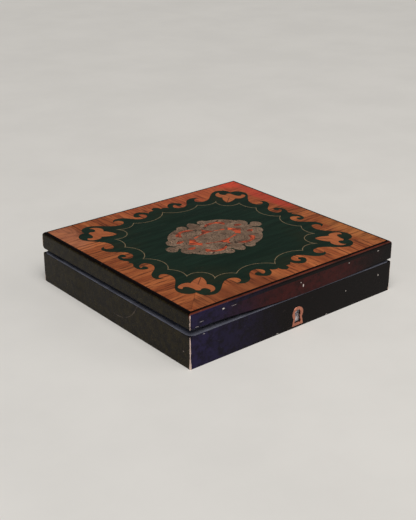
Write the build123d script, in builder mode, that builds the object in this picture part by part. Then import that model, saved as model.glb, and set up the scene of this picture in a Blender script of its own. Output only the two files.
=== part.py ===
"""A key-wound cylinder music box in a low marquetry case.

Frame: millimetres, +Z up, origin at the middle of the underside. The keyhole
is on the front, at -Y, and the lid is hinged at the back, at +Y.
"""

from build123d import *
import os
from math import acos, cos, pi, radians, sin, sqrt, tan

os.makedirs("parts", exist_ok=True)

# ---------------------------------------------------------------- case sizes
case_length = 290.0  # X, outside
case_depth = 272.0  # Y, outside
case_height = 60.6  # Z, to the top of the veneer
base_height = 36.2  # top of the rim facing
wall = 9.0  # base wall thickness
floor_thick = 5.0
rim_facing = 0.8  # thickness of the grey facing on the base walls
rim_setback = 0.6  # the facing's outer edge, in from the wall
rim_corner = 7.0  # radius of the facing's corners
lip_thick = 1.8  # dust lip that stands inside the lid
lip_top = 44.0  # height of the lip
lip_gap = 0.4  # lid rail to lip
corner_round = 0.8  # worn upright corners of the walls

# ----------------------------------------------------------------- lid sizes
rail_gap_back = 5.2  # open joint between base and lid at the hinges
rail_gap_left = 7.4  # ... at the front left corner
rail_gap_right = 3.4  # ... at the front right corner
rail_gap_middle = 0.5  # ... where the bowed front rail comes down to the base
panel_thick = 5.0
veneer_thick = 0.8
moulding_inset = 4.8  # width of the ebonised moulding, seen from above
moulding_round = 3.5  # radius on its top edge
lid_lining_thick = 0.8
back_chamfer = 2.5  # relieved lower back arris, lets the lid fall back

# --------------------------------------------------------- marquetry drawing
outline_length = 123.0  # half sizes that the outline below is drawn at
outline_depth = 118.0
border = 17.2  # veneer edge to the outermost scroll, along X
border_depth = 13.2  # ... along Y
stringing_width = 0.8
cartouche_length = 136.0
cartouche_depth = 100.0

# ------------------------------------------------------------------ hinges
hinge_length = 40.0
hinge_spacing = 170.0
knuckle_radius = 2.2
pin_radius = 1.0
pin_clearance = 0.05
leaf_thick = 1.5
neck_thick = 2.4
knuckle_gap = 0.3

# ------------------------------------------------------ lock and escutcheon
key_height = 16.0  # centre of the keyhole's round head above the base
escutcheon_head = 7.85  # outside radius of the head
escutcheon_hole = 4.7  # inside radius
escutcheon_foot = 16.0  # width across the flared foot
escutcheon_waist = 12.3
escutcheon_rim = 3.0
escutcheon_thick = 1.2
escutcheon_bottom = 2.0  # foot above the underside
lock_length = 54.0
lock_height = 30.2
lock_depth = 6.4
lock_wall = 1.2
bolt_length = 20.0
bolt_travel = 5.0
bolt_thick = 1.2
key_pin_radius = 1.1
staple_width = 3.0  # along the bolt
staple_thick = 3.2
staple_drop = 6.4
eye_gap = 0.4  # round the bolt in the staple
bolt_drop = 2.0  # bolt's top edge below the lock's top
bolt_height = 4.0
bolt_start = 1.5  # drawn bolt's end to the staple
bolt_room = 1.0  # room past each end of the bolt
lock_flange = 8.0  # how far the lock's plate passes its body at each end
key_entry_width = 2.2
key_entry_height = 5.0  # below the pin, for the key's bit
plate_length = 30.0  # link plate in the lid
plate_thick = 1.0
plate_depth = 7.0
plate_sink = 0.4  # plate's face above the rail's lowest point

# ----------------------------------------------------------------- screws
screw_shank = 1.2
screw_head = 2.3
screw_head_height = 1.5
hinge_screw = 1.0
hinge_screw_head = 1.9
hinge_screw_length = 8.2
head_sink = 0.8  # depth of a head let into a hinge leaf
leaf_screw_inset = 3.2  # screw to the inner edge of the leaf
screw_bite = 5.0  # lock screws' length in the wall
screw_room = 0.1  # radial clearance of a screw's hole
link_screw_inset = 4.0
link_screw_length = 8.6

# ------------------------------------------------------- inside partitions
partition = 4.0
partition_top = 36.5
movement_depth = 91.0  # clear depth of the movement's compartment
movement_length = 176.0  # clear length
cushion_height = 10.0
cushion_gap = 0.6
cushion_round = 3.0
lock_clearance = 1.0  # cushion to lock plate
glass_thick = 2.0
frame_thick = 3.0
frame_land = 8.0  # width of the glass frame's rails
rabbet = 3.0  # how far the glass sits into the frame

# ---------------------------------------------------------------- movement
bed_length = 166.0
bed_depth = 72.0
bed_thick = 2.5
bed_foot = 2.0  # height of the feet under the bedplate
foot_radius = 4.0
arbor_height = 21.5  # height of the horizontal arbors
bridge_thick = 3.0
bridge_foot = 7.0
bridge_foot_thick = 2.0
bridge_top = 26.0  # top of the cylinder's and governor's bridges
barrel_bridge_top = 31.0  # top of the bridge that carries the click
bridge_half = 13.0
bridge_edge = 6.0  # bore to the side of a bridge
bed_inset = 3.0  # bedplate to the left partition
bed_front = 2.0  # bedplate to the long partition
bed_screw_inset = 6.0
bed_round = 3.0
wheel_gap = 1.0  # great wheel to the sides of its slot in the bedplate
great_slot = 8.0  # half length of that slot
running = 0.05  # radial clearance of a running fit

cylinder_radius = 9.0
cylinder_length = 84.0
cylinder_wall = 0.8
cylinder_arbor_radius = 1.5
pin_wire = 0.22  # radius of a music pin
pin_height = 0.6
pin_tracks = 40  # tracks along the cylinder, one for each comb tooth
pins_per_track = 5

comb_pitch = 2.0
comb_thick = 1.2
comb_depth = 22.0
comb_tooth = 14.0
comb_slot = 0.45
comb_clearance = 0.25
comb_base_depth = 9.0
comb_front = 3.0  # comb to the bedplate's edge
comb_screws = 5
comb_screw_inset = 4.5
comb_screw_length = 9.0
comb_base_end = 4.0  # how far the base passes the comb at each end

train_module = 0.4
great_teeth = 60
pinion_teeth = 12
cylinder_teeth = 56
governor_teeth = 10
wheel_thick = 1.6
great_thick = 2.5
barrel_radius = 11.5
barrel_length = 20.0
barrel_wall = 0.9
barrel_arbor_radius = 1.8
ratchet_radius = 6.0
ratchet_teeth = 24
ratchet_thick = 2.0

worm_module = 0.3
worm_wheel_teeth = 40
worm_radius = 1.5
worm_thread = 0.28  # eccentricity of the worm's turning section
worm_length = 8.5
fly_radius = 5.0
fly_height = 4.0
fly_thick = 0.5
fly_arbor_radius = 0.8
fly_hub = 1.3
governor_arbor_radius = 1.0
arbor_end = 0.6  # how far an arbor passes its bridge
cock_width = 6.0
cock_gap = 1.0  # fly's sweep to the cock's upright
cock_thick = 4.0
cock_arm = 2.0
cock_foot = 3.0
cock_reach = 2.5  # cock's arm past the fly's axis
pivot_depth = 1.5  # lower pivot in the cock's foot

key_hub = 3.2
key_wing = 13.0
key_thick = 2.4
key_length = 12.0
key_end = 1.0  # arbor past the key
key_wing_place = 9.0  # wings' middle from the key's inner end
key_wing_width = 5.5
key_wing_height = 6.0
key_hole = 2.2

cap_thick = 1.5
barrel_cap_thick = 1.2
spring_turns = 6
spring_gap = 0.6  # mainspring to arbor, and to the barrel
spring_thick = 0.5
spring_width = 17.0
click_offset_y = 9.5  # click's pivot from the barrel's axis
click_offset_z = 7.4
click_hub = 2.0
click_pin_radius = 0.9
click_spring_height = 9.4  # above the arbor
click_spring_thick = 0.5
lever_offset = 5.0  # lever's line from the fly's axis
lever_above = 1.0  # lever above the fly's lower edge
lever_thick = 1.5
lever_slot = 9.0  # half length of its slot in the partition
lever_room = 1.5  # above and below the lever in that slot
lever_reach = 24.0  # finger end past the partition
lever_width = 4.0
lever_hub = 4.0
lever_finger = 3.5
lever_post = 1.4
post_radius = 3.0
post_head = 2.4
post_head_height = 1.2

# ------------------------------------------------------------ worked places
half_x = case_length / 2
half_y = case_depth / 2
inner_x = half_x - wall
inner_y = half_y - wall
wall_top = base_height - rim_facing
rail_thick = wall - lip_gap
panel_top = case_height - veneer_thick
rail_top = panel_top - panel_thick
veneer_x = half_x - moulding_inset
veneer_y = half_y - moulding_inset

hinge_y = half_y - knuckle_radius - 0.4
hinge_z = base_height + (rail_gap_back + 0.2) / 2
lid_back_z = base_height + rail_gap_back

room_x = inner_x - lip_thick
room_y = inner_y - lip_thick
partition_y = room_y - movement_depth  # movement side of the long partition
partition_x = movement_length / 2

bed_y0 = partition_y + bed_front
bed_z = floor_thick + bed_foot
bed_top = bed_z + bed_thick
comb_y0 = bed_y0 + comb_front
cylinder_y = comb_y0 + comb_depth + comb_clearance + pin_height + cylinder_radius
barrel_y = cylinder_y + train_module * (great_teeth + pinion_teeth) / 2
governor_y = cylinder_y + train_module * (cylinder_teeth + governor_teeth) / 2
worm_y = governor_y + worm_module * worm_wheel_teeth / 2 + worm_radius

cylinder_x0 = -40.0
cylinder_x1 = cylinder_x0 + cylinder_length
middle_bridge_x = cylinder_x0 - 6.0
great_x = middle_bridge_x - 4.5 - great_thick
barrel_x = great_x - barrel_length
left_bridge_x = barrel_x - 6.0
ratchet_x = left_bridge_x - ratchet_thick - 1.0
cylinder_wheel_x = cylinder_x1 + 2.0
right_bridge_x = cylinder_x1 + 6.0
worm_wheel_x = right_bridge_x + bridge_thick + 3.0
worm_x = worm_wheel_x + wheel_thick / 2
end_plate_x = worm_x + fly_radius + 1.3
fly_z = arbor_height + worm_module * worm_wheel_teeth / 2 + 1.2
key_x = -partition_x - partition - 7.0


# ------------------------------------------------------------------ helpers
def block(x, y, z, mode=Mode.ADD):
    """Add a box between the (low, high) limits x, y and z."""
    with BuildSketch(Plane.XY.offset(z[0])) as outline:
        with Locations(((x[0] + x[1]) / 2, (y[0] + y[1]) / 2)):
            Rectangle(x[1] - x[0], y[1] - y[0])
    extrude(outline.sketch, amount=z[1] - z[0], mode=mode)


def rod_x(x, y, z, radius, mode=Mode.ADD):
    """Add a round bar along X between the limits x, centred on y and z."""
    with BuildSketch(Plane.YZ.offset(x[0])) as disc:
        with Locations((y, z)):
            Circle(radius)
    extrude(disc.sketch, amount=x[1] - x[0], mode=mode)


def rod_y(x, y, z, radius, mode=Mode.ADD):
    """Add a round bar along Y between the limits y, centred on x and z."""
    with BuildSketch(Plane.XZ.offset(-y[0])) as disc:
        with Locations((x, z)):
            Circle(radius)
    extrude(disc.sketch, amount=y[0] - y[1], mode=mode)


def rod_z(x, y, z, radius, mode=Mode.ADD):
    """Add an upright round bar at x, y between the limits z."""
    with BuildSketch(Plane.XY.offset(z[0])) as disc:
        with Locations((x, y)):
            Circle(radius)
    extrude(disc.sketch, amount=z[1] - z[0], mode=mode)


def screw_down(x, y, seat, length, head_radius, head_height, shank_radius):
    """Add a cheese-head screw with its head standing on the height seat."""
    rod_z(x, y, (seat, seat + head_height), head_radius)
    rod_z(x, y, (seat - length, seat), shank_radius)
    block(
        (x - head_radius, x + head_radius),
        (y - head_radius / 7, y + head_radius / 7),
        (seat + head_height * 0.6, seat + head_height),
        mode=Mode.SUBTRACT,
    )


def save(piece, label):
    """Name a finished piece and write its STEP file."""
    piece.part.label = label
    export_step(piece.part, f"parts/{label}.step")


def involute(base_radius, radius):
    """Angle that an involute of the base circle has turned through at a radius."""
    pressure = acos(min(1.0, base_radius / radius))
    return tan(pressure) - pressure


def gear_face(teeth, module, phase, centre=(0, 0), slim=0.38, pressure=20.0):
    """Spur gear face with slim involute teeth, one tooth centred on phase.

    slim is the tooth's share of the pitch at the pitch circle.
    """
    pitch_radius = module * teeth / 2
    base_radius = pitch_radius * cos(radians(pressure))
    tip = pitch_radius + 0.9 * module
    root = pitch_radius - 1.25 * module
    start = max(base_radius, root)
    half_tooth = slim * pi / teeth
    flank_radii = [start, (start + pitch_radius) / 2, pitch_radius, tip]
    at_pitch = involute(base_radius, pitch_radius)
    turned = [half_tooth + at_pitch - involute(base_radius, r) for r in flank_radii]

    def spot(r, angle):
        return (r * cos(angle), r * sin(angle))

    with BuildSketch() as face:
        Circle(root + 0.02)
        with PolarLocations(0, teeth, start_angle=phase):
            with BuildSketch(mode=Mode.PRIVATE) as tooth:
                with BuildLine():
                    upper = [spot(r, a) for r, a in zip(flank_radii, turned)]
                    lower = [(p[0], -p[1]) for p in upper]
                    foot = spot(root * 0.97, turned[0])
                    Polyline(foot, *upper, *reversed(lower), (foot[0], -foot[1]), foot)
                make_face()
            add(tooth.sketch)
    return Pos(*centre, 0) * face.sketch


def disc_plate(x, thickness, face):
    """Extrude a face drawn about Y and Z into a wheel that starts at x."""
    extrude(Plane.YZ.offset(x) * face, amount=thickness)


# ================================================================ base case
def wall_x(side):
    """Limits in X of the left (-1) or right (+1) base wall."""
    return (-half_x, -inner_x) if side < 0 else (inner_x, half_x)


with BuildPart() as bottom_board:
    block((-inner_x, inner_x), (-inner_y, inner_y), (0, floor_thick))
save(bottom_board, "bottom_board")

# the lock is let into the inner face of the front wall, the escutcheon into
# the outer face, and the keyhole joins the two
lock_back = -inner_y
lock_front = lock_back - lock_depth
lock_top = wall_top
lock_z = (lock_top - lock_height, lock_top)

with BuildSketch(Plane.XZ.offset(half_y)) as escutcheon_face:
    with Locations((0, key_height)):
        Circle(escutcheon_head)
    with BuildLine():
        Polyline(
            (-escutcheon_waist / 2, key_height - escutcheon_head * 0.6),
            (escutcheon_waist / 2, key_height - escutcheon_head * 0.6),
            (escutcheon_foot / 2, escutcheon_bottom),
            (-escutcheon_foot / 2, escutcheon_bottom),
            (-escutcheon_waist / 2, key_height - escutcheon_head * 0.6),
        )
    make_face()

slot_waist = escutcheon_waist / 2 - escutcheon_rim
slot_foot = escutcheon_foot / 2 - escutcheon_rim
with BuildSketch(Plane.XZ.offset(half_y)) as keyhole_face:
    with Locations((0, key_height)):
        Circle(escutcheon_hole)
    with BuildLine():
        Polyline(
            (-slot_waist, key_height),
            (slot_waist, key_height),
            (slot_foot, escutcheon_bottom + escutcheon_rim),
            (-slot_foot, escutcheon_bottom + escutcheon_rim),
            (-slot_waist, key_height),
        )
    make_face()

with BuildPart() as front_wall:
    block((-half_x, half_x), (-half_y, -inner_y), (0, wall_top))
    upright = front_wall.edges().filter_by(Axis.Z).group_by(Axis.Y)[0]
    fillet(upright, corner_round)
    block(
        (-lock_length / 2, lock_length / 2),
        (lock_front, lock_back),
        lock_z,
        mode=Mode.SUBTRACT,
    )
    extrude(escutcheon_face.sketch, amount=-escutcheon_thick, mode=Mode.SUBTRACT)
    extrude(keyhole_face.sketch, amount=-wall, mode=Mode.SUBTRACT)
save(front_wall, "front_wall")

with BuildPart() as escutcheon:
    extrude(escutcheon_face.sketch, amount=-escutcheon_thick)
    extrude(keyhole_face.sketch, amount=-escutcheon_thick, mode=Mode.SUBTRACT)
save(escutcheon, "escutcheon")

hinge_centres = (-hinge_spacing / 2, hinge_spacing / 2)
leaf_y = (half_y - wall + lip_gap, hinge_y + neck_thick / 2)

with BuildPart() as back_wall:
    block((-half_x, half_x), (inner_y, half_y), (0, wall_top))
    upright = back_wall.edges().filter_by(Axis.Z).group_by(Axis.Y)[-1]
    fillet(upright, corner_round)
    for x in hinge_centres:
        block(
            (x - hinge_length / 2, x + hinge_length / 2),
            leaf_y,
            (base_height - leaf_thick, wall_top),
            mode=Mode.SUBTRACT,
        )
save(back_wall, "back_wall")

for side, label in ((-1, "left_wall"), (1, "right_wall")):
    with BuildPart() as side_wall:
        block(wall_x(side), (-inner_y, inner_y), (0, wall_top))
    save(side_wall, label)

with BuildPart() as rim_liner:
    with BuildSketch(Plane.XY.offset(wall_top)):
        RectangleRounded(
            case_length - 2 * rim_setback, case_depth - 2 * rim_setback, rim_corner
        )
        Rectangle(2 * inner_x, 2 * inner_y, mode=Mode.SUBTRACT)
    extrude(amount=rim_facing)
    with BuildSketch(Plane.XY.offset(partition_top)):
        Rectangle(2 * inner_x, 2 * inner_y)
        Rectangle(2 * room_x, 2 * room_y, mode=Mode.SUBTRACT)
    extrude(amount=lip_top - partition_top)
    block((-inner_x, inner_x), (-inner_y, -room_y), (wall_top, partition_top))
    block((-inner_x, inner_x), (room_y, inner_y), (wall_top, partition_top))
    block((-inner_x, -room_x), (-inner_y, inner_y), (wall_top, partition_top))
    block((room_x, inner_x), (-inner_y, inner_y), (wall_top, partition_top))
    for x in hinge_centres:
        block(
            (x - hinge_length / 2 - 0.1, x + hinge_length / 2 + 0.1),
            (leaf_y[0] - 0.1, half_y),
            (wall_top, base_height),
            mode=Mode.SUBTRACT,
        )
    block(
        (-lock_length / 2, lock_length / 2),
        (lock_front, lock_back),
        (wall_top, base_height),
        mode=Mode.SUBTRACT,
    )
save(rim_liner, "rim_liner")

# ============================================================== partitions
lever_y = worm_y + lever_offset
lever_z = fly_z + lever_above

with BuildPart() as partitions:
    block((-inner_x, inner_x), (partition_y - partition, partition_y), (floor_thick, wall_top))
    block((-room_x, room_x), (partition_y - partition, partition_y), (wall_top, partition_top))
    for x in (-partition_x - partition, partition_x):
        block((x, x + partition), (partition_y, room_y), (floor_thick, partition_top))
    rod_x(
        (-partition_x - partition, -partition_x),
        barrel_y,
        arbor_height,
        barrel_arbor_radius + 1.0,
        mode=Mode.SUBTRACT,
    )
    block(
        (partition_x, partition_x + partition),
        (lever_y - lever_slot, lever_y + lever_slot),
        (lever_z - lever_room, lever_z + lever_thick + lever_room),
        mode=Mode.SUBTRACT,
    )
save(partitions, "partitions")

with BuildPart() as cushion:
    block(
        (-inner_x + cushion_gap, inner_x - cushion_gap),
        (lock_back + lock_wall + lock_clearance + cushion_gap, partition_y - partition - cushion_gap),
        (floor_thick, floor_thick + cushion_height),
    )
    fillet(cushion.edges().group_by(Axis.Z)[-1], cushion_round)
save(cushion, "cushion")

frame_x = partition_x + partition
frame_y = (partition_y - partition, room_y)
glass_x = partition_x - frame_land + partition + rabbet
glass_y = (frame_y[0] + frame_land - rabbet, frame_y[1] - frame_land + rabbet)
frame_top = partition_top + frame_thick

with BuildPart() as glass_frame:
    block((-frame_x, frame_x), frame_y, (partition_top, frame_top))
    block(
        (-glass_x + rabbet, glass_x - rabbet),
        (glass_y[0] + rabbet, glass_y[1] - rabbet),
        (partition_top, frame_top),
        mode=Mode.SUBTRACT,
    )
    block((-glass_x, glass_x), glass_y, (frame_top - glass_thick, frame_top), mode=Mode.SUBTRACT)
save(glass_frame, "glass_frame")

with BuildPart() as glass_pane:
    block((-glass_x, glass_x), glass_y, (frame_top - glass_thick, frame_top))
save(glass_pane, "glass_pane")

# ==================================================================== lock
bolt_z = (lock_top - bolt_drop - bolt_height, lock_top - bolt_drop)
bolt_mid = lock_back - lock_depth / 2
bolt_y = (bolt_mid - bolt_thick / 2, bolt_mid + bolt_thick / 2)
bolt_x0 = -staple_width / 2 - bolt_start - bolt_length
staple_y = (bolt_mid - staple_thick / 2, bolt_mid + staple_thick / 2)

lock_screw_x = (lock_length + lock_flange) / 2
lock_screw_z = (lock_z[0] + 5.0, lock_z[1] - 6.0)

with BuildPart() as lock_case:
    block((-lock_length / 2, lock_length / 2), (lock_front, lock_back), lock_z)
    block(
        (bolt_x0 - bolt_room, staple_width / 2 + bolt_travel + 2 * bolt_room),
        (lock_front + lock_wall, lock_back - lock_wall),
        (bolt_z[0] - 1.6, bolt_z[1] + 0.4),
        mode=Mode.SUBTRACT,
    )
    block(
        (-staple_width / 2 - 0.8, staple_width / 2 + 0.8),
        (lock_front + lock_wall, lock_back - lock_wall),
        (bolt_z[1], lock_top),
        mode=Mode.SUBTRACT,
    )
    with BuildSketch(Plane.XZ.offset(-lock_front)):
        with Locations((0, key_height)):
            Circle(key_pin_radius * 2.4)
        with Locations((0, key_height - key_entry_height / 2)):
            Rectangle(key_entry_width, key_entry_height)
    extrude(amount=-lock_wall - 1.6, mode=Mode.SUBTRACT)
    rod_y(0, (lock_front + 0.5, lock_back - lock_wall), key_height, key_pin_radius)
    block(
        (-lock_length / 2 - lock_flange, lock_length / 2 + lock_flange),
        (lock_back, lock_back + lock_wall),
        lock_z,
    )
    for x in (-lock_screw_x, lock_screw_x):
        for z in lock_screw_z:
            rod_y(x, (lock_back, lock_back + lock_wall), z, screw_shank + screw_room, mode=Mode.SUBTRACT)
save(lock_case, "lock_case")

with BuildPart() as lock_bolt:
    block((bolt_x0, bolt_x0 + bolt_length), bolt_y, bolt_z)
save(lock_bolt, "lock_bolt")

# ================================================================= hinges
knuckle_length = (hinge_length - 2 * knuckle_gap) / 3


def knuckle_limits(x, place):
    """Limits in X of one of the three knuckles of the hinge centred on x."""
    start = x - hinge_length / 2 + place * (knuckle_length + knuckle_gap)
    return (start, start + knuckle_length)


def knuckle(limits, z_leaf):
    """A knuckle with its neck, which joins it to the leaf face at z_leaf."""
    neck_z = (min(z_leaf, hinge_z), max(z_leaf, hinge_z))
    rod_x(limits, hinge_y, hinge_z, knuckle_radius)
    block(limits, (hinge_y - neck_thick / 2, hinge_y + neck_thick / 2), neck_z)
    rod_x(limits, hinge_y, hinge_z, pin_radius + pin_clearance, mode=Mode.SUBTRACT)


def leaf_screw_places(x):
    """Places in X of the three screws in the leaf centred on x."""
    return [x - hinge_length / 3, x, x + hinge_length / 3]


screw_y = leaf_y[0] + leaf_screw_inset

with BuildPart() as base_hinge_leaves:
    for x in hinge_centres:
        block(
            (x - hinge_length / 2, x + hinge_length / 2),
            leaf_y,
            (base_height - leaf_thick, base_height),
        )
        for place in (0, 2):
            knuckle(knuckle_limits(x, place), base_height)
        for sx in leaf_screw_places(x):
            rod_z(sx, screw_y, (0, base_height), hinge_screw + screw_room, mode=Mode.SUBTRACT)
            rod_z(sx, screw_y, (base_height - head_sink, base_height), hinge_screw_head + screw_room,
                  mode=Mode.SUBTRACT)
save(base_hinge_leaves, "base_hinge_leaves")

with BuildPart() as base_screws:
    for x in (-lock_screw_x, lock_screw_x):
        for z in lock_screw_z:
            rod_y(x, (lock_back - screw_bite, lock_back + lock_wall), z, screw_shank)
            rod_y(x, (lock_back + lock_wall, lock_back + lock_wall + 1.0), z, screw_head)
    for x in hinge_centres:
        for sx in leaf_screw_places(x):
            rod_z(sx, screw_y, (base_height - head_sink - hinge_screw_length, base_height - head_sink), hinge_screw)
            rod_z(sx, screw_y, (base_height - head_sink, base_height), hinge_screw_head)
save(base_screws, "base_screws")

with BuildPart() as hinge_pins:
    for x in hinge_centres:
        rod_x((x - hinge_length / 2, x + hinge_length / 2), hinge_y, hinge_z, pin_radius)
save(hinge_pins, "hinge_pins")

with BuildPart() as lid_hinge_leaves:
    for x in hinge_centres:
        block(
            (x - hinge_length / 2, x + hinge_length / 2),
            (leaf_y[0], hinge_y + 0.1),
            (lid_back_z, lid_back_z + leaf_thick),
        )
        knuckle(knuckle_limits(x, 1), lid_back_z)
        for sx in leaf_screw_places(x):
            rod_z(sx, screw_y, (lid_back_z, case_height), hinge_screw + screw_room, mode=Mode.SUBTRACT)
            rod_z(sx, screw_y, (lid_back_z, lid_back_z + head_sink), hinge_screw_head + screw_room,
                  mode=Mode.SUBTRACT)
save(lid_hinge_leaves, "lid_hinge_leaves")


# ==================================================================== lid
rail_y = half_y - rail_thick  # inner faces of the front and back rails
rail_x = half_x - rail_thick
left_z = base_height + rail_gap_left
right_z = base_height + rail_gap_right
middle_z = base_height + rail_gap_middle
plate_z = middle_z + plate_sink
plate_y = (-rail_y - plate_depth, -rail_y)

with BuildPart() as lid_front_rail:
    with BuildSketch(Plane.XZ.offset(half_y)):
        with BuildLine():
            Spline(
                (-half_x, left_z),
                (-half_x * 0.5, (left_z + middle_z) / 2 + 0.6),
                (0, middle_z),
                (half_x * 0.35, middle_z + 0.1),
                (half_x, right_z),
            )
            Line((half_x, right_z), (half_x, rail_top))
            Line((half_x, rail_top), (-half_x, rail_top))
            Line((-half_x, rail_top), (-half_x, left_z))
        make_face()
    extrude(amount=-rail_thick)
    upright = lid_front_rail.edges().filter_by(Axis.Z).group_by(Axis.Y)[0]
    fillet(upright, corner_round)
    block(
        (-plate_length / 2, plate_length / 2),
        plate_y,
        (0, plate_z + plate_thick),
        mode=Mode.SUBTRACT,
    )
save(lid_front_rail, "lid_front_rail")

with BuildPart() as lid_back_rail:
    with BuildSketch(Plane.YZ.offset(-half_x)):
        with BuildLine():
            Polyline(
                (rail_y, lid_back_z),
                (half_y - back_chamfer, lid_back_z),
                (half_y, lid_back_z + back_chamfer),
                (half_y, rail_top),
                (rail_y, rail_top),
                (rail_y, lid_back_z),
            )
        make_face()
    extrude(amount=case_length)
    for x in hinge_centres:
        block(
            (x - hinge_length / 2, x + hinge_length / 2),
            (rail_y, hinge_y + 0.1),
            (lid_back_z, lid_back_z + leaf_thick),
            mode=Mode.SUBTRACT,
        )
save(lid_back_rail, "lid_back_rail")

for side, front_z, label in ((-1, left_z, "lid_left_rail"), (1, right_z, "lid_right_rail")):
    with BuildPart() as side_rail:
        with BuildSketch(Plane.YZ.offset(min(side * half_x, side * rail_x))):
            with BuildLine():
                Polyline(
                    (-rail_y, front_z),
                    (rail_y, lid_back_z),
                    (rail_y, rail_top),
                    (-rail_y, rail_top),
                    (-rail_y, front_z),
                )
            make_face()
        extrude(amount=rail_thick)
    save(side_rail, label)

with BuildPart() as lid_moulding:
    block((-half_x, half_x), (-half_y, half_y), (rail_top, case_height))
    fillet(lid_moulding.edges().filter_by(Axis.Z), corner_round)
    fillet(lid_moulding.edges().group_by(Axis.Z)[-1], moulding_round)
    block((-veneer_x, veneer_x), (-veneer_y, veneer_y), (rail_top, case_height), mode=Mode.SUBTRACT)
save(lid_moulding, "lid_moulding")

with BuildPart() as lid_panel:
    block((-veneer_x, veneer_x), (-veneer_y, veneer_y), (rail_top, panel_top))
save(lid_panel, "lid_panel")

with BuildPart() as lid_lining:
    block((-rail_x, rail_x), (-rail_y, rail_y), (rail_top - lid_lining_thick, rail_top))
save(lid_lining, "lid_lining")

with BuildPart() as link_plate:
    block((-plate_length / 2, plate_length / 2), plate_y, (plate_z, plate_z + plate_thick))
    block((-staple_width / 2, staple_width / 2), staple_y, (plate_z - staple_drop, plate_z))
    block(
        (-staple_width / 2, staple_width / 2),
        (bolt_y[0] - eye_gap, bolt_y[1] + eye_gap),
        (bolt_z[0] - eye_gap, bolt_z[1] + eye_gap),
        mode=Mode.SUBTRACT,
    )
save(link_plate, "link_plate")

with BuildPart() as lid_screws:
    for x in (-plate_length / 2 + link_screw_inset, plate_length / 2 - link_screw_inset):
        rod_z(x, sum(plate_y) / 2, (plate_z + plate_thick, plate_z + link_screw_length), hinge_screw)
    for x in hinge_centres:
        for sx in leaf_screw_places(x):
            rod_z(sx, screw_y, (lid_back_z + head_sink, lid_back_z + hinge_screw_length), hinge_screw)
            rod_z(sx, screw_y, (lid_back_z, lid_back_z + head_sink), hinge_screw_head)
save(lid_screws, "lid_screws")

# ============================================================== marquetry
fit_x = (veneer_x - border) / outline_length
fit_y = (veneer_y - border_depth) / outline_depth


def quarter(x, y):
    """A point of the drawing, fitted to the panel."""
    return (x * fit_x, y * fit_y)


# One quarter of the scrolled edge between rosewood and the dark panel, from
# the middle of the front to the middle of the side. Each stroke is a smooth
# curve, and the strokes meet at cusps.
scroll_strokes = [
    [(0, 118), (5, 114.5), (5.5, 110)],
    [(5.5, 110), (10.5, 110.4), (15, 106.5)],
    [(15, 106.5), (18, 113.3), (25.7, 117.5), (33, 113), (35.4, 107), (31, 103.4), (27.5, 106.5)],
    [(27.5, 106.5), (27, 110.2), (22, 107.4), (21.8, 101.2), (28, 97), (36.5, 99.6), (42, 106),
     (48, 113), (57, 115.8), (65, 108)],
    [(65, 108), (59.5, 110.4), (54.7, 105), (57, 99.4), (65, 97.2), (74, 101.2), (87, 112.5),
     (98.5, 116.5), (107.6, 111), (109.5, 101.8)],
    [(109.5, 101.8), (119, 98.8), (123, 88), (118, 77.6), (107.6, 65), (104.6, 53), (110, 44.7),
     (116, 48), (113.5, 55)],
    [(113.5, 55), (121.6, 49), (119, 39.4), (107, 28.6), (103, 17.5), (108, 10.3), (115.6, 13.2),
     (116.5, 18.5)],
    [(116.5, 18.5), (111, 17.3), (111.5, 24), (118, 22.6), (121.3, 15), (118.5, 6.5)],
    [(118.5, 6.5), (117.4, 2.8), (122, 0)],
]

# One fleur-de-lis, from its tip round its outer lobe to its stem and back.
fleur_strokes = [
    [(82.5, 76), (91, 76.4), (97, 79), (100.5, 81)],
    [(100.5, 81), (108, 76.8), (117, 82), (115, 86.5)],
    [(115, 86.5), (110, 84.2), (107, 89), (106.5, 97)],
    [(106.5, 97), (104.8, 99.2), (102.5, 100.2)],
    [(102.5, 100.2), (97, 98.8), (94.8, 102.8), (98, 109.5)],
    [(98, 109.5), (90, 107.6), (86.6, 100), (89.5, 93.3)],
    [(89.5, 93.3), (85.6, 88), (82.5, 76)],
]

# One quarter of the cusped stringing: an arc from cusp to cusp.
stringing_arcs = [
    [(0, 99.3), (25, 84.5), (48, 92)],
    [(48, 92), (61.5, 84), (73.3, 87)],
    [(73.3, 87), (75.4, 66.6), (92.5, 65)],
    [(92.5, 65), (90.5, 52.5), (97.3, 39)],
    [(97.3, 39), (89.5, 19.5), (101, 0)],
]

with BuildSketch(Plane.XY.offset(panel_top)) as scroll_outline:
    with BuildLine():
        for stroke in scroll_strokes:
            Spline(*[quarter(x, y) for x, y in stroke])
        mirror(about=Plane.YZ)
        mirror(about=Plane.XZ)
    make_face()

with BuildSketch(Plane.XY.offset(panel_top)) as fleur_faces:
    with BuildLine():
        for stroke in fleur_strokes:
            Spline(*[quarter(x, y) for x, y in stroke])
    make_face()
    mirror(about=Plane.YZ)
    mirror(about=Plane.XZ)

with BuildSketch(Plane.XY.offset(panel_top)) as stringing_face:
    with BuildLine():
        for arc in stringing_arcs:
            ThreePointArc(*[quarter(x, y) for x, y in arc])
        mirror(about=Plane.YZ)
        mirror(about=Plane.XZ)
    trace(line_width=stringing_width)

cart_x = cartouche_length / 136.0
cart_y = cartouche_depth / 100.0


def cart(x, y):
    """A point of the cartouche drawing, fitted to its size."""
    return (x * cart_x, y * cart_y)


# One quarter of the cartouche's edge, from the middle of the front to the
# fan at the side: alternating lobes and notches.
cartouche_arcs = [
    [(0, 50), (5.4, 45.5), (6.8, 38.5)],
    [(6.8, 38.5), (8.4, 37.2), (10, 38.5)],
    [(10, 38.5), (14.6, 48.6), (21.5, 43.4)],
    [(21.5, 43.4), (37.4, 37.4), (49.5, 23)],
    [(49.5, 23), (57.6, 14), (51.5, 4.6)],
    [(51.5, 4.6), (53.3, 3.4), (55.5, 3)],
    [(55.5, 3), (62.4, 7.4), (68, 0)],
]

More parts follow.
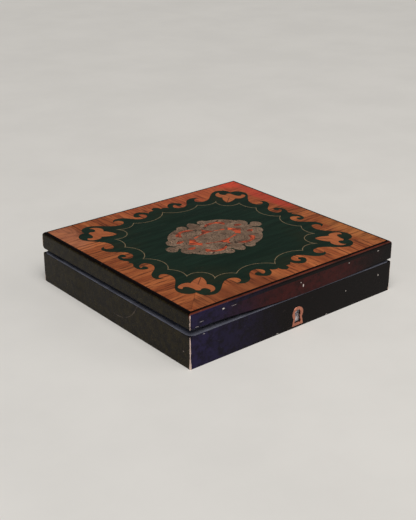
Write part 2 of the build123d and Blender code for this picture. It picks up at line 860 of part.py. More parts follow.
# Openings in one quarter: a crescent round the corner boss, a small leaf eye,
# and half of the pierced ring round the medallion, in two pieces.
cartouche_openings = [
    [[(8, 29), (16, 35.6), (27, 34.6), (36, 27)], [(36, 27), (31, 22), (26, 30.6), (17, 31), (8, 29)]],
    [[(37, 10.6), (43, 14), (48, 9.4)], [(48, 9.4), (43, 8), (37, 10.6)]],
]
ring_strokes = [
    [(0, 29), (3.4, 20), (9.5, 15), (20, 12.4)],
    [(20, 12.4), (22.4, 10.4), (20.4, 8.8)],
    [(20.4, 8.8), (11, 12.6), (0, 13.6)],
]
ring_side_strokes = [
    [(23.6, 7), (26.2, 8.8), (27.6, 12.6)],
    [(27.6, 12.6), (31, 8), (39, 0)],
]
ring_inner = [(23.6, 7), (25.6, 3.6), (26.2, 0)]

with BuildSketch(Plane.XY.offset(panel_top)) as cartouche_outline:
    with BuildLine():
        for arc in cartouche_arcs:
            ThreePointArc(*[cart(x, y) for x, y in arc])
        mirror(about=Plane.YZ)
        mirror(about=Plane.XZ)
    make_face()

with BuildSketch(Plane.XY.offset(panel_top)) as shell_faces:
    for strokes in cartouche_openings:
        with BuildLine():
            for stroke in strokes:
                Spline(*[cart(x, y) for x, y in stroke])
        make_face()
    mirror(about=Plane.YZ)
    mirror(about=Plane.XZ)
    with BuildLine():
        for stroke in ring_strokes:
            Spline(*[cart(x, y) for x, y in stroke])
        mirror(about=Plane.YZ)
    make_face()
    with BuildLine():
        for stroke in [*ring_side_strokes, ring_inner]:
            Spline(*[cart(x, y) for x, y in stroke])
        mirror(about=Plane.XZ)
    make_face()
    mirror(about=Plane.XZ)
    mirror(about=Plane.YZ)

with BuildPart() as rosewood_veneer:
    block((-veneer_x, veneer_x), (-veneer_y, veneer_y), (panel_top, case_height))
    extrude(scroll_outline.sketch, amount=veneer_thick, mode=Mode.SUBTRACT)
save(rosewood_veneer, "rosewood_veneer")

with BuildPart() as dark_panel:
    extrude(scroll_outline.sketch, amount=veneer_thick)
    extrude(fleur_faces.sketch, amount=veneer_thick, mode=Mode.SUBTRACT)
    extrude(stringing_face.sketch, amount=veneer_thick, mode=Mode.SUBTRACT)
    extrude(cartouche_outline.sketch, amount=veneer_thick, mode=Mode.SUBTRACT)
save(dark_panel, "dark_panel")

with BuildPart() as fleur_inlays:
    extrude(fleur_faces.sketch, amount=veneer_thick)
save(fleur_inlays, "fleur_inlays")

with BuildPart() as stringing:
    extrude(stringing_face.sketch, amount=veneer_thick)
save(stringing, "stringing")

with BuildPart() as cartouche_brass:
    extrude(cartouche_outline.sketch, amount=veneer_thick)
    extrude(shell_faces.sketch, amount=veneer_thick, mode=Mode.SUBTRACT)
save(cartouche_brass, "cartouche_brass")

with BuildPart() as cartouche_shell:
    extrude(shell_faces.sketch, amount=veneer_thick)
save(cartouche_shell, "cartouche_shell")

# =============================================================== movement
bed_x = (-partition_x + bed_inset, -partition_x + bed_inset + bed_length)
bed_y = (bed_y0, bed_y0 + bed_depth)
foot_places = [
    (x, y)
    for x in (bed_x[0] + bed_screw_inset, bed_x[1] - bed_screw_inset)
    for y in (bed_y[0] + bed_screw_inset, bed_y[1] - bed_screw_inset)
]

with BuildPart() as bedplate:
    block(bed_x, bed_y, (bed_z, bed_top))
    fillet(bedplate.edges().filter_by(Axis.Z), bed_round)
    for x, y in foot_places:
        rod_z(x, y, (bed_z, bed_top), screw_shank + running, mode=Mode.SUBTRACT)
    block(
        (great_x - wheel_gap, great_x + great_thick + wheel_gap),
        (barrel_y - great_slot, barrel_y + great_slot),
        (bed_z, bed_top),
        mode=Mode.SUBTRACT,
    )
save(bedplate, "bedplate")

with BuildPart() as bed_feet:
    for x, y in foot_places:
        rod_z(x, y, (floor_thick, bed_z), foot_radius)
        rod_z(x, y, (floor_thick, bed_z), screw_shank + running, mode=Mode.SUBTRACT)
save(bed_feet, "bed_feet")


def bridge(x, y, top, bores, foot_side):
    """An upright bearing plate with a foot, bored along X for its arbors.

    bores is a list of (y, radius). foot_side is +1 or -1 along X.
    """
    block((x, x + bridge_thick), y, (bed_top, top))
    foot_x = (x, x + bridge_foot) if foot_side > 0 else (x + bridge_thick - bridge_foot, x + bridge_thick)
    block(foot_x, y, (bed_top, bed_top + bridge_foot_thick))
    for bore_y, radius in bores:
        rod_x((x, x + bridge_thick), bore_y, arbor_height, radius + running, mode=Mode.SUBTRACT)


cylinder_bore = (cylinder_y, cylinder_arbor_radius)
barrel_bore = (barrel_y, barrel_arbor_radius)
governor_bore = (governor_y, governor_arbor_radius)

# the left bridge stops short of the head of the screw behind it
screw_front = bed_y[1] - bed_screw_inset - screw_head
left_sides = (barrel_y - bridge_half, min(barrel_y + bridge_half, screw_front - 0.5))

with BuildPart() as left_bridge:
    bridge(left_bridge_x, left_sides, barrel_bridge_top, [barrel_bore], -1)
save(left_bridge, "left_bridge")

with BuildPart() as cylinder_bridges:
    middle_sides = (cylinder_y - bridge_edge, barrel_y + bridge_edge)
    bridge(middle_bridge_x, middle_sides, bridge_top, [cylinder_bore, barrel_bore], -1)
    right_sides = (cylinder_y - bridge_edge, governor_y + bridge_edge - 2.0)
    bridge(right_bridge_x, right_sides, bridge_top, [cylinder_bore, governor_bore], 1)
save(cylinder_bridges, "cylinder_bridges")

with BuildPart() as end_plate:
    bridge(end_plate_x, (governor_y - bridge_foot, governor_y + bridge_edge), bridge_top, [governor_bore], 1)
save(end_plate, "end_plate")

# the comb lies level with the cylinder's arbor
comb_tip_y = cylinder_y - cylinder_radius - pin_height - comb_clearance
comb_length = comb_pitch * pin_tracks
comb_x0 = (cylinder_x0 + cylinder_x1 - comb_length) / 2
comb_z = arbor_height - comb_thick / 2
comb_screw_places = [
    (comb_x0 + comb_length * (i + 0.5) / comb_screws, comb_y0 + comb_screw_inset)
    for i in range(comb_screws)
]

with BuildPart() as comb:
    block((comb_x0, comb_x0 + comb_length), (comb_y0, comb_tip_y), (comb_z, comb_z + comb_thick))
    with BuildSketch(Plane.XY.offset(comb_z)):
        with Locations(((cylinder_x0 + cylinder_x1) / 2, comb_tip_y - comb_tooth / 2)):
            with GridLocations(comb_pitch, 1, pin_tracks - 1, 1):
                Rectangle(comb_slot, comb_tooth)
    extrude(amount=comb_thick, mode=Mode.SUBTRACT)
    for x, y in comb_screw_places:
        rod_z(x, y, (comb_z, comb_z + comb_thick), screw_shank + running, mode=Mode.SUBTRACT)
save(comb, "comb")

with BuildPart() as comb_base:
    block(
        (comb_x0 - comb_base_end, comb_x0 + comb_length + comb_base_end),
        (comb_y0 - 0.5, comb_y0 + comb_base_depth),
        (bed_top, comb_z),
    )
    for x, y in comb_screw_places:
        rod_z(x, y, (bed_top, comb_z), screw_shank + running, mode=Mode.SUBTRACT)
save(comb_base, "comb_base")

with BuildPart() as movement_screws:
    for x, y in comb_screw_places:
        screw_down(x, y, comb_z + comb_thick, comb_screw_length, screw_head, screw_head_height, screw_shank)
    for x, y in foot_places:
        screw_down(x, y, bed_top, bed_top - 1.0, screw_head, screw_head_height, screw_shank)
save(movement_screws, "movement_screws")

# ---------------------------------------------------------------- cylinder
with BuildPart() as cylinder_tube:
    rod_x((cylinder_x0, cylinder_x1), cylinder_y, arbor_height, cylinder_radius)
    rod_x(
        (cylinder_x0, cylinder_x1),
        cylinder_y,
        arbor_height,
        cylinder_radius - cylinder_wall,
        mode=Mode.SUBTRACT,
    )
save(cylinder_tube, "cylinder_tube")

with BuildPart() as cylinder_caps:
    for x in (cylinder_x0, cylinder_x1 - cap_thick):
        rod_x((x, x + cap_thick), cylinder_y, arbor_height, cylinder_radius - cylinder_wall)
        rod_x((x, x + cap_thick), cylinder_y, arbor_height, cylinder_arbor_radius, mode=Mode.SUBTRACT)
save(cylinder_caps, "cylinder_caps")

with BuildPart() as cylinder_arbor:
    rod_x(
        (great_x, right_bridge_x + bridge_thick + arbor_end),
        cylinder_y,
        arbor_height,
        cylinder_arbor_radius,
    )
    disc_plate(great_x, great_thick, gear_face(pinion_teeth, train_module, 0, (cylinder_y, arbor_height)))
save(cylinder_arbor, "cylinder_arbor")

# the pins follow a tune: each track steps round by a golden angle
golden_turn = 180 * (3 - sqrt(5))
with BuildPart() as cylinder_pins:
    for track in range(pin_tracks):
        pin_x = comb_x0 + comb_pitch * (track + 0.5)
        for beat in range(pins_per_track):
            turn = golden_turn * track + beat * 360 / pins_per_track + 11 * (track % 3) * (beat % 2)
            spoke = Plane(
                origin=(pin_x, cylinder_y, arbor_height),
                x_dir=(1, 0, 0),
                z_dir=(0, cos(radians(turn)), sin(radians(turn))),
            )
            with BuildSketch(spoke.offset(cylinder_radius)):
                Circle(pin_wire)
    extrude(amount=pin_height)
save(cylinder_pins, "cylinder_pins")

with BuildPart() as cylinder_wheel:
    disc_plate(
        cylinder_wheel_x,
        wheel_thick,
        gear_face(cylinder_teeth, train_module, 180 / cylinder_teeth, (cylinder_y, arbor_height)),
    )
    rod_x((cylinder_wheel_x, cylinder_wheel_x + wheel_thick), cylinder_y, arbor_height,
          cylinder_arbor_radius, mode=Mode.SUBTRACT)
save(cylinder_wheel, "cylinder_wheel")

# ------------------------------------------------------------------ barrel
with BuildPart() as spring_barrel:
    disc_plate(
        great_x,
        great_thick,
        gear_face(great_teeth, train_module, 180 / great_teeth, (barrel_y, arbor_height)),
    )
    rod_x((barrel_x, great_x), barrel_y, arbor_height, barrel_radius)
    rod_x((barrel_x, great_x), barrel_y, arbor_height, barrel_radius - barrel_wall, mode=Mode.SUBTRACT)
    rod_x((barrel_x, great_x + great_thick), barrel_y, arbor_height, barrel_arbor_radius + running,
          mode=Mode.SUBTRACT)
save(spring_barrel, "spring_barrel")

with BuildPart() as barrel_cap:
    rod_x((barrel_x, barrel_x + barrel_cap_thick), barrel_y, arbor_height, barrel_radius - barrel_wall)
    rod_x((barrel_x, barrel_x + barrel_cap_thick), barrel_y, arbor_height, barrel_arbor_radius + running,
          mode=Mode.SUBTRACT)
save(barrel_cap, "barrel_cap")

# the mainspring is a flat strip, wound as an even spiral out to the barrel
spring_inner = barrel_arbor_radius + spring_gap
spring_outer = barrel_radius - barrel_wall - spring_gap + 0.2


def spiral(shift):
    """Points along the mainspring, shifted outwards by shift."""
    steps = spring_turns * 8
    growth = (spring_outer - spring_thick - spring_inner) / steps
    return [
        (
            barrel_y + (spring_inner + growth * i + shift) * cos(i * pi / 4),
            arbor_height + (spring_inner + growth * i + shift) * sin(i * pi / 4),
        )
        for i in range(steps + 1)
    ]


with BuildPart() as mainspring:
    with BuildSketch(Plane.YZ.offset(barrel_x + barrel_length - spring_width - 1.0)):
        with BuildLine():
            inside = Spline(*spiral(0))
            outside = Spline(*spiral(spring_thick))
            Line(inside @ 0, outside @ 0)
            Line(inside @ 1, outside @ 1)
        make_face()
    extrude(amount=spring_width)
save(mainspring, "mainspring")

# ----------------------------------------------------------------- winding
with BuildPart() as winding_arbor:
    rod_x((key_x - key_length - key_end, middle_bridge_x + bridge_thick), barrel_y, arbor_height, barrel_arbor_radius)
save(winding_arbor, "winding_arbor")

with BuildPart() as ratchet_wheel:
    step = 2 * pi / ratchet_teeth
    with BuildSketch(Plane.YZ.offset(ratchet_x)):
        with BuildLine():
            corners = []
            for tooth in range(ratchet_teeth):
                corners.append(
                    (
                        barrel_y + (ratchet_radius - 1) * cos(tooth * step),
                        arbor_height + (ratchet_radius - 1) * sin(tooth * step),
                    )
                )
                corners.append(
                    (
                        barrel_y + ratchet_radius * cos(tooth * step),
                        arbor_height + ratchet_radius * sin(tooth * step),
                    )
                )
            Polyline(*corners, close=True)
        make_face()
    extrude(amount=ratchet_thick)
    rod_x((ratchet_x, ratchet_x + ratchet_thick), barrel_y, arbor_height, barrel_arbor_radius,
          mode=Mode.SUBTRACT)
save(ratchet_wheel, "ratchet_wheel")

with BuildPart() as winding_key:
    rod_x((key_x - key_length, key_x), barrel_y, arbor_height, key_hub)
    with BuildSketch(Plane.XY.offset(arbor_height - key_thick / 2)):
        for side in (-1, 1):
            with Locations((key_x - key_wing_place, barrel_y + side * (key_wing - key_wing_height))):
                Ellipse(key_wing_width, key_wing_height)
            with Locations((key_x - key_wing_place, barrel_y + side * (key_wing - key_wing_width))):
                Circle(key_hole, mode=Mode.SUBTRACT)
    extrude(amount=key_thick)
    rod_x((key_x - key_length, key_x), barrel_y, arbor_height, barrel_arbor_radius, mode=Mode.SUBTRACT)
save(winding_key, "winding_key")

# the click rests in a tooth space at the top of the ratchet wheel
click_y = barrel_y + click_offset_y
click_z = arbor_height + click_offset_z


def at_ratchet(radius, angle):
    """A point about the ratchet's axis, with the angle measured from the top towards +Y."""
    return (barrel_y + radius * sin(radians(angle)), arbor_height + radius * cos(radians(angle)))


with BuildPart() as click:
    with BuildSketch(Plane.YZ.offset(ratchet_x)):
        with BuildLine():
            Polyline(
                at_ratchet(ratchet_radius - 0.75, 1.5),
                at_ratchet(ratchet_radius + 0.55, 12.5),
                (click_y - 1.0, click_z - click_hub * 0.7),
                (click_y - 1.0, click_z + click_hub * 0.7),
                at_ratchet(ratchet_radius + 1.6, 1.5),
                at_ratchet(ratchet_radius - 0.75, 1.5),
            )
        make_face()
        with Locations((click_y, click_z)):
            Circle(click_hub)
            Circle(click_pin_radius + running, mode=Mode.SUBTRACT)
    extrude(amount=ratchet_thick - 0.3)
save(click, "click")

spring_post_z = arbor_height + click_spring_height
with BuildPart() as click_spring:
    block(
        (ratchet_x, left_bridge_x),
        (barrel_y - 9.0, barrel_y - 7.0),
        (spring_post_z - 2.0, spring_post_z),
    )
    block(
        (ratchet_x + 0.2, ratchet_x + ratchet_thick - 0.5),
        (barrel_y - 7.0, barrel_y + 2.6),
        (spring_post_z - click_spring_thick, spring_post_z),
    )
save(click_spring, "click_spring")

# ---------------------------------------------------------------- governor
with BuildPart() as governor_arbor:
    rod_x(
        (cylinder_wheel_x - arbor_end, end_plate_x + bridge_thick),
        governor_y,
        arbor_height,
        governor_arbor_radius,
    )
    disc_plate(
        cylinder_wheel_x,
        wheel_thick,
        gear_face(governor_teeth, train_module, 0, (governor_y, arbor_height)),
    )
save(governor_arbor, "governor_arbor")

with BuildPart() as worm_wheel:
    disc_plate(
        worm_wheel_x,
        wheel_thick,
        gear_face(worm_wheel_teeth, worm_module, 0, (governor_y, arbor_height), slim=0.24),
    )
    rod_x((worm_wheel_x, worm_wheel_x + wheel_thick), governor_y, arbor_height,
          governor_arbor_radius, mode=Mode.SUBTRACT)
save(worm_wheel, "worm_wheel")

# the endless screw is one turning section, set off its axis and twisted; its
# hollow faces the wheel at the height of the wheel's arbor
worm_pitch = pi * worm_module
worm_z = arbor_height - worm_length / 2
worm_twist = 360 * worm_length / worm_pitch
worm_start = 90 - worm_twist / 2
worm_section = Pos(worm_x, worm_y, worm_z) * Rot(0, 0, worm_start) * Pos(worm_thread, 0, 0) * Circle(worm_radius)
worm_core = Solid.extrude_linear_with_rotation(
    worm_section.face(), (worm_x, worm_y, worm_z), (0, 0, worm_length), worm_twist
)

cock_top = fly_z + fly_height + cock_gap
with BuildPart() as endless_screw:
    add(worm_core)
    rod_z(worm_x, worm_y, (bed_top + pivot_depth, worm_z), fly_arbor_radius)
    rod_z(worm_x, worm_y, (worm_z + worm_length, cock_top + cock_arm), fly_arbor_radius)
save(endless_screw, "endless_screw")

with BuildPart() as fly:
    block(
        (worm_x - fly_radius, worm_x + fly_radius),
        (worm_y - fly_thick / 2, worm_y + fly_thick / 2),
        (fly_z, fly_z + fly_height),
    )
    rod_z(worm_x, worm_y, (fly_z, fly_z + fly_height), fly_hub)
    rod_z(worm_x, worm_y, (fly_z, fly_z + fly_height), fly_arbor_radius, mode=Mode.SUBTRACT)
save(fly, "fly")

cock_y = (worm_y + fly_radius + cock_gap, worm_y + fly_radius + cock_gap + cock_thick)
cock_x = (worm_x - cock_width / 2, worm_x + cock_width / 2)
with BuildPart() as governor_cock:
    block(cock_x, cock_y, (bed_top, cock_top + cock_arm))
    block(cock_x, (worm_y - cock_reach, cock_y[1]), (cock_top, cock_top + cock_arm))
    block(cock_x, (worm_y - cock_reach, cock_y[1]), (bed_top, bed_top + cock_foot))
    rod_z(worm_x, worm_y, (bed_top + pivot_depth, cock_top + cock_arm), fly_arbor_radius + running,
          mode=Mode.SUBTRACT)
save(governor_cock, "governor_cock")

# -------------------------------------------------------- start and stop lever
lever_x = end_plate_x + bridge_thick + lever_hub + 0.5
lever_end = partition_x + partition + lever_reach

with BuildPart() as stop_lever:
    with BuildSketch(Plane.XY.offset(lever_z)):
        with Locations((lever_x, lever_y)):
            Circle(lever_hub)
        with Locations(((lever_x + lever_end) / 2, lever_y)):
            Rectangle(lever_end - lever_x, lever_width)
        with Locations((lever_end, lever_y)):
            Circle(lever_finger)
        with BuildLine():
            Polyline(
                (lever_x, lever_y + 2.0),
                (lever_x, lever_y - 3.0),
                (worm_x + fly_radius + 1.0, lever_y - 4.6),
                (worm_x + fly_radius + 1.4, lever_y - 2.4),
                (lever_x, lever_y + 2.0),
            )
        make_face()
        with Locations((lever_x, lever_y)):
            Circle(lever_post + running, mode=Mode.SUBTRACT)
    extrude(amount=lever_thick)
save(stop_lever, "stop_lever")

with BuildPart() as pivot_posts:
    rod_x((ratchet_x - 0.8, left_bridge_x), click_y, click_z, click_pin_radius)
    rod_x((ratchet_x - 0.8, ratchet_x - 0.1), click_y, click_z, click_hub * 0.9)
    rod_z(lever_x, lever_y, (bed_top, lever_z - 0.1), post_radius)
    rod_z(lever_x, lever_y, (lever_z - 0.1, lever_z + lever_thick + 0.1), lever_post)
    head_z = lever_z + lever_thick + 0.1
    rod_z(lever_x, lever_y, (head_z, head_z + post_head_height), post_head)
save(pivot_posts, "pivot_posts")
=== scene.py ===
"""Finishes, soft goods and stage for a key-wound music box in a marquetry case.

Laid out as an add-on: sizes and colours are property groups, every piece or
group of like pieces has an operator, and a sidebar panel lists them.
"""

import bmesh
import bpy
import numpy as np
from bpy.props import FloatProperty, FloatVectorProperty, PointerProperty
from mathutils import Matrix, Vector


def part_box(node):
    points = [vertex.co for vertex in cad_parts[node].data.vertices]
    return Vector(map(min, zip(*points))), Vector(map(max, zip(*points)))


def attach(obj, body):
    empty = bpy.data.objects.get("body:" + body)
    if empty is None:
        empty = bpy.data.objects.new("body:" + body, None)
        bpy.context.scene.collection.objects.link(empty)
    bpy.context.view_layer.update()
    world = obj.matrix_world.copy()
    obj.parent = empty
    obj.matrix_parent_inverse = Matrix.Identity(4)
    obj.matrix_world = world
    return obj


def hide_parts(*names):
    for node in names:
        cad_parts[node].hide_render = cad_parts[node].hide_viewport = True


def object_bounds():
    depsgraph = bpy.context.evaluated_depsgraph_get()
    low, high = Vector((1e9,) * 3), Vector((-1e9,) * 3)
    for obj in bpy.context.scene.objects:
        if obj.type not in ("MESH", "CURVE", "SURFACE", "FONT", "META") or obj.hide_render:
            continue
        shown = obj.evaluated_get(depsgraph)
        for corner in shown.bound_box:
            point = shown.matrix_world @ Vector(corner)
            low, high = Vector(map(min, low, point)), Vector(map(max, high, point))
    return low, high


bl_info = {
    "name": "Marquetry Music Box",
    "version": (1, 0, 0),
    "blender": (4, 5, 0),
    "location": "3D View > Sidebar > Music Box",
    "description": "Finishes, cushion and stage for a wind-up music box",
    "category": "Object",
}

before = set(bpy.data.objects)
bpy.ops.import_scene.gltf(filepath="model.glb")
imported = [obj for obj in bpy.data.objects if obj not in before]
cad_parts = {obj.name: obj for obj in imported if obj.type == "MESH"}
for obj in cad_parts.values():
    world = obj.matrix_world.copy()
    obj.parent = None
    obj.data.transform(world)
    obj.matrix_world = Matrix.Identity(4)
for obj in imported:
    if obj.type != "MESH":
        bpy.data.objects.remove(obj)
CAD_LOW, CAD_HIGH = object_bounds()
CASE_LOW = Vector(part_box("front_wall")[0])
CASE_HIGH = Vector(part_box("lid_moulding")[1])
HALF_X = CASE_HIGH.x
HALF_Y = -CASE_LOW.y
TOP = CASE_HIGH.z
MM = 0.001
SKIN = 0.8 * MM  # depth from a face that still counts as that face


# chips along the front: place as a share of half the length and of the height,
# then half width and half height in metres
FRONT_CHIPS = {
    "lid": [
        (-0.71, 0.885, 0.0016, 0.0010),
        (-0.62, 0.880, 0.0040, 0.00016),
        (-0.90, 0.800, 0.0030, 0.00014),
        (-0.94, 0.735, 0.0022, 0.00018),
        (0.045, 0.765, 0.0009, 0.0019),
        (0.02, 0.835, 0.0005, 0.0006),
        (0.84, 0.900, 0.0016, 0.0004),
        (0.52, 0.870, 0.0008, 0.0004),
    ],
    "base": [
        (0.86, 0.400, 0.0006, 0.0013),
        (0.50, 0.330, 0.0009, 0.0005),
        (-0.88, 0.565, 0.0014, 0.0003),
        (-0.20, 0.020, 0.0022, 0.0004),
        (0.30, 0.018, 0.0016, 0.0004),
    ],
}
FLEUR_TIP = (0.0825, 0.076)  # inner tip of the fleur-de-lis, from the middle
CHIP_WHITE = (0.72, 0.66, 0.62)
# the escutcheon: radius of its head and half width of its waist as shares of
# its width, then the band's width, how much the hole is smaller than the head,
# and how far the band stands out from the wall
HEAD_SHARE = 0.4906
WAIST_SHARE = 0.3844
BAND = 3.0 * MM
HOLE_INSET = 3.7 * MM
BAND_RISE = 0.45 * MM
# the cushion: power of its rounded-rectangle outline, power of its side's
# bulge, and the frames that the stuffing takes
OUTLINE_POWER = 8
SIDE_POWER = 14
FILL_FRAMES = 20
FLOOR_REACH = 6.0
# stains on the rosewood: place as shares of the half sizes, half width, half
# depth in metres, strength and colour
STAINS = [
    (0.88, 0.93, 0.020, 0.016, 0.80, (0.60, 0.055, 0.030)),
    (0.92, 0.45, 0.012, 0.060, 0.70, (0.45, 0.040, 0.028)),
    (-0.93, 0.80, 0.026, 0.050, 0.45, (0.40, 0.170, 0.100)),
    (-0.55, -0.90, 0.070, 0.016, 0.45, (0.090, 0.026, 0.012)),
    (0.93, -0.60, 0.016, 0.050, 0.40, (0.46, 0.180, 0.050)),
]


# ------------------------------------------------------------- properties
def colour(name, text, value):
    """A colour property with its name, description and default."""
    return FloatVectorProperty(
        name=name, description=text, default=value, size=3, min=0, max=1, subtype="COLOR"
    )


def length(name, text, value, low=0.0):
    """A length property in metres."""
    return FloatProperty(
        name=name, description=text, default=value, min=low, unit="LENGTH", subtype="DISTANCE"
    )


class CaseColours(bpy.types.PropertyGroup):
    """Colours of the ebonised case."""

    black: colour("Black", "Ebonised wood in the shade", (0.0030, 0.0017, 0.0017))
    # the blue near the left front corner: partly a haze on the polish, partly a painted reflection
    bloom_and_sheen: colour("Bloom", "Blue bloom on the polish near the left front corner", (0.0150, 0.0110, 0.0420))
    # the red-brown patch on the lid front rail: partly red-brown wood showing through, partly a painted sheen
    russet_and_sheen: colour("Russet", "Red-brown show-through on the front lid rail", (0.050, 0.0065, 0.0060))
    # olive: a painted reflection over the left side, mottled
    olive: colour("Olive", "Dusty olive brown of the left side", (0.0200, 0.0145, 0.0040))
    # also used, at 0.30, for a painted highlight along the moulding's back edge
    chip: colour("Chip", "Pale wood in chips and worn arrises", (0.62, 0.47, 0.40))
    nick: colour("Nicks", "Fine grey nicks in the bloom", (0.15, 0.14, 0.24))
    # the red-brown line on the front moulding: partly a worn arris, partly a painted highlight
    rubbed: colour("Rubbed edge", "Red-brown line along the front moulding", (0.095, 0.020, 0.011))
    rim: colour("Rim", "Slate grey of the dust lip", (0.085, 0.090, 0.120))


class VeneerColours(bpy.types.PropertyGroup):
    """Colours of the marquetry lid."""

    rosewood: colour("Rosewood", "Middle tone of the rosewood", (0.265, 0.065, 0.020))
    rosewood_dark: colour("Dark streak", "Streaks in the rosewood", (0.042, 0.0095, 0.0050))
    rosewood_pale: colour("Pale figure", "Light figure in the rosewood", (0.43, 0.128, 0.041))
    rosewood_red: colour("Faded pink", "Red-pink tone towards the back", (0.44, 0.070, 0.040))
    fleur: colour("Fleur", "Lighter wood of the fleur-de-lis", (0.40, 0.118, 0.044))
    panel: colour("Panel", "Green-black centre panel", (0.0052, 0.0135, 0.0085))
    panel_olive: colour("Panel haze", "Faded olive patches of the panel", (0.022, 0.020, 0.009))
    brass: colour("Inlay brass", "Tarnished brass of the cartouche", (0.215, 0.130, 0.085))
    brass_bright: colour("Rubbed brass", "Brass where it is rubbed bright", (0.47, 0.31, 0.21))
    shell: colour("Shell", "Red shell in the cartouche", (0.62, 0.090, 0.026))
    stringing: colour("Stringing", "Thin metal line in the panel", (0.26, 0.19, 0.105))


class CushionSizes(bpy.types.PropertyGroup):
    """Sizes of the velvet cushion."""

    shrink: length("Shrink", "How much smaller the pad starts before it swells", 0.0035)
    voxel: length("Voxel", "Size of the cloth's cells", 0.005, 0.002)
    crown: length("Crown", "Rise of the middle over the edge", 0.0025)
    pressure: FloatProperty(name="Pressure", description="Stuffing pressure", default=4.0, min=0.0)
    travel: length("Travel", "Largest move of a point as the pad fills", 0.006)


class StageSettings(bpy.types.PropertyGroup):
    """Camera and lamps."""

    azimuth: FloatProperty(
        name="Azimuth", description="Camera's turn to the left of the front", default=0.6885, subtype="ANGLE"
    )
    elevation: FloatProperty(
        name="Elevation", description="Camera's height above level", default=0.4105, subtype="ANGLE"
    )
    distance: FloatProperty(name="Distance", description="Camera distance in case lengths", default=4.026)
    lens: FloatProperty(name="Lens", description="Focal length in mm", default=68.68, min=10.0)
    aim: FloatVectorProperty(
        name="Aim", description="Point looked at, in case lengths", default=(0.043, 0.0972, 0.0635), size=3
    )
    floor: colour("Floor", "Pale floor", (0.70, 0.69, 0.67))
    room: FloatProperty(name="Room", description="Strength of the even light of the room", default=0.09, min=0)
    sun: FloatProperty(name="Sun", description="Strength of the soft overhead light", default=2.9, min=0)
    key_power: FloatProperty(name="Key", description="Power of the front right lamp in watts", default=3.0)
    rim_power: FloatProperty(name="Rim", description="Power of the left lamp in watts", default=0.8)


# --------------------------------------------------------- material helper
class Finish:
    """A node material being built, with short calls for the usual nodes."""

    def __init__(self, name, roughness=0.4, metallic=0.0, **sockets):
        self.material = bpy.data.materials.new(name)
        self.material.use_nodes = True
        self.tree = self.material.node_tree
        self.shader = self.tree.nodes["Principled BSDF"]
        self.shader.inputs["Roughness"].default_value = roughness
        self.shader.inputs["Metallic"].default_value = metallic
        for socket, value in sockets.items():
            self.shader.inputs[socket.replace("_", " ")].default_value = value
        self.place = self.node("ShaderNodeTexCoord").outputs["Object"]
        split = self.node("ShaderNodeSeparateXYZ")
        self.link(self.place, split.inputs[0])
        self.x, self.y, self.z = split.outputs

    def node(self, kind, **settings):
        """Add a node and set its attributes."""
        made = self.tree.nodes.new(kind)
        for name, value in settings.items():
            setattr(made, name, value)
        return made

    def link(self, out, socket):
        """Join an output to an input, or set the input to a plain value."""
        if isinstance(out, bpy.types.NodeSocket):
            self.tree.links.new(out, socket)
        elif hasattr(out, "__len__") and len(out) == 3 and socket.type == "RGBA":
            socket.default_value = (*out, 1)
        else:
            socket.default_value = out

    def math(self, operation, a, b=0.5, c=0.5):
        """One arithmetic step on sockets or numbers."""
        made = self.node("ShaderNodeMath", operation=operation)
        for socket, value in zip(made.inputs, (a, b, c)):
            self.link(value, socket)
        return made.outputs[0]

    def step(self, value, low, high, start=0.0, end=1.0):
        """Smooth rise from start at low to end at high."""
        made = self.node("ShaderNodeMapRange", interpolation_type="SMOOTHSTEP")
        for socket, given in zip(made.inputs, (value, low, high, start, end)):
            self.link(given, socket)
        return made.outputs[0]

    def stretched(self, scale, rotation=(0, 0, 0), vector=None):
        """The place multiplied by scale on each axis, for grain."""
        made = self.node("ShaderNodeMapping")
        self.link(vector or self.place, made.inputs["Vector"])
        made.inputs["Scale"].default_value = scale
        made.inputs["Rotation"].default_value = rotation
        return made.outputs[0]

    def noise(self, scale, detail=4.0, roughness=0.55, vector=None, distortion=0.0):
        """Fractal noise from 0 to 1."""
        made = self.node("ShaderNodeTexNoise")
        self.link(vector or self.place, made.inputs["Vector"])
        for socket, value in (
            ("Scale", scale),
            ("Detail", detail),
            ("Roughness", roughness),
            ("Distortion", distortion),
        ):
            made.inputs[socket].default_value = value
        return made.outputs["Fac"]

    def cells(self, scale, vector=None, feature="F1", output="Distance"):
        """Cell pattern."""
        made = self.node("ShaderNodeTexVoronoi", feature=feature)
        self.link(vector or self.place, made.inputs["Vector"])
        made.inputs["Scale"].default_value = scale
        return made.outputs[output]

    def mix(self, share, a, b, blend="MIX"):
        """Mix two colours by share."""
        made = self.node("ShaderNodeMix", data_type="RGBA", blend_type=blend)
        self.link(share, made.inputs[0])
        self.link(a, made.inputs[6])
        self.link(b, made.inputs[7])
        return made.outputs[2]

    def grey(self, value):
        """A grey colour from one number."""
        made = self.node("ShaderNodeCombineColor")
        for socket in made.inputs:
            self.link(value, socket)
        return made.outputs[0]

    def bump(self, height, strength, distance=0.0004, under=None):
        """Relief from a height, over another relief if one is given."""
        made = self.node("ShaderNodeBump")
        made.inputs["Strength"].default_value = strength
        made.inputs["Distance"].default_value = distance
        self.link(height, made.inputs["Height"])
        if under is not None:
            self.link(under, made.inputs["Normal"])
        return made.outputs[0]

    def finish(self, base, roughness=None, normal=None):
        """Join colour, roughness and relief to the shader."""
        self.link(base, self.shader.inputs["Base Color"])
        if roughness is not None:
            self.link(roughness, self.shader.inputs["Roughness"])
        if normal is not None:
            self.link(normal, self.shader.inputs["Normal"])
        return self.material


def dress(material, *nodes):
    """Give a material to every slot of the named CAD nodes."""
    for name in nodes:
        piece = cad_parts.get(name)
        if piece is None:
            raise RuntimeError(f"the frame has no node {name}")
        if not piece.material_slots:
            piece.data.materials.append(material)
        for slot in piece.material_slots:
            slot.material = material


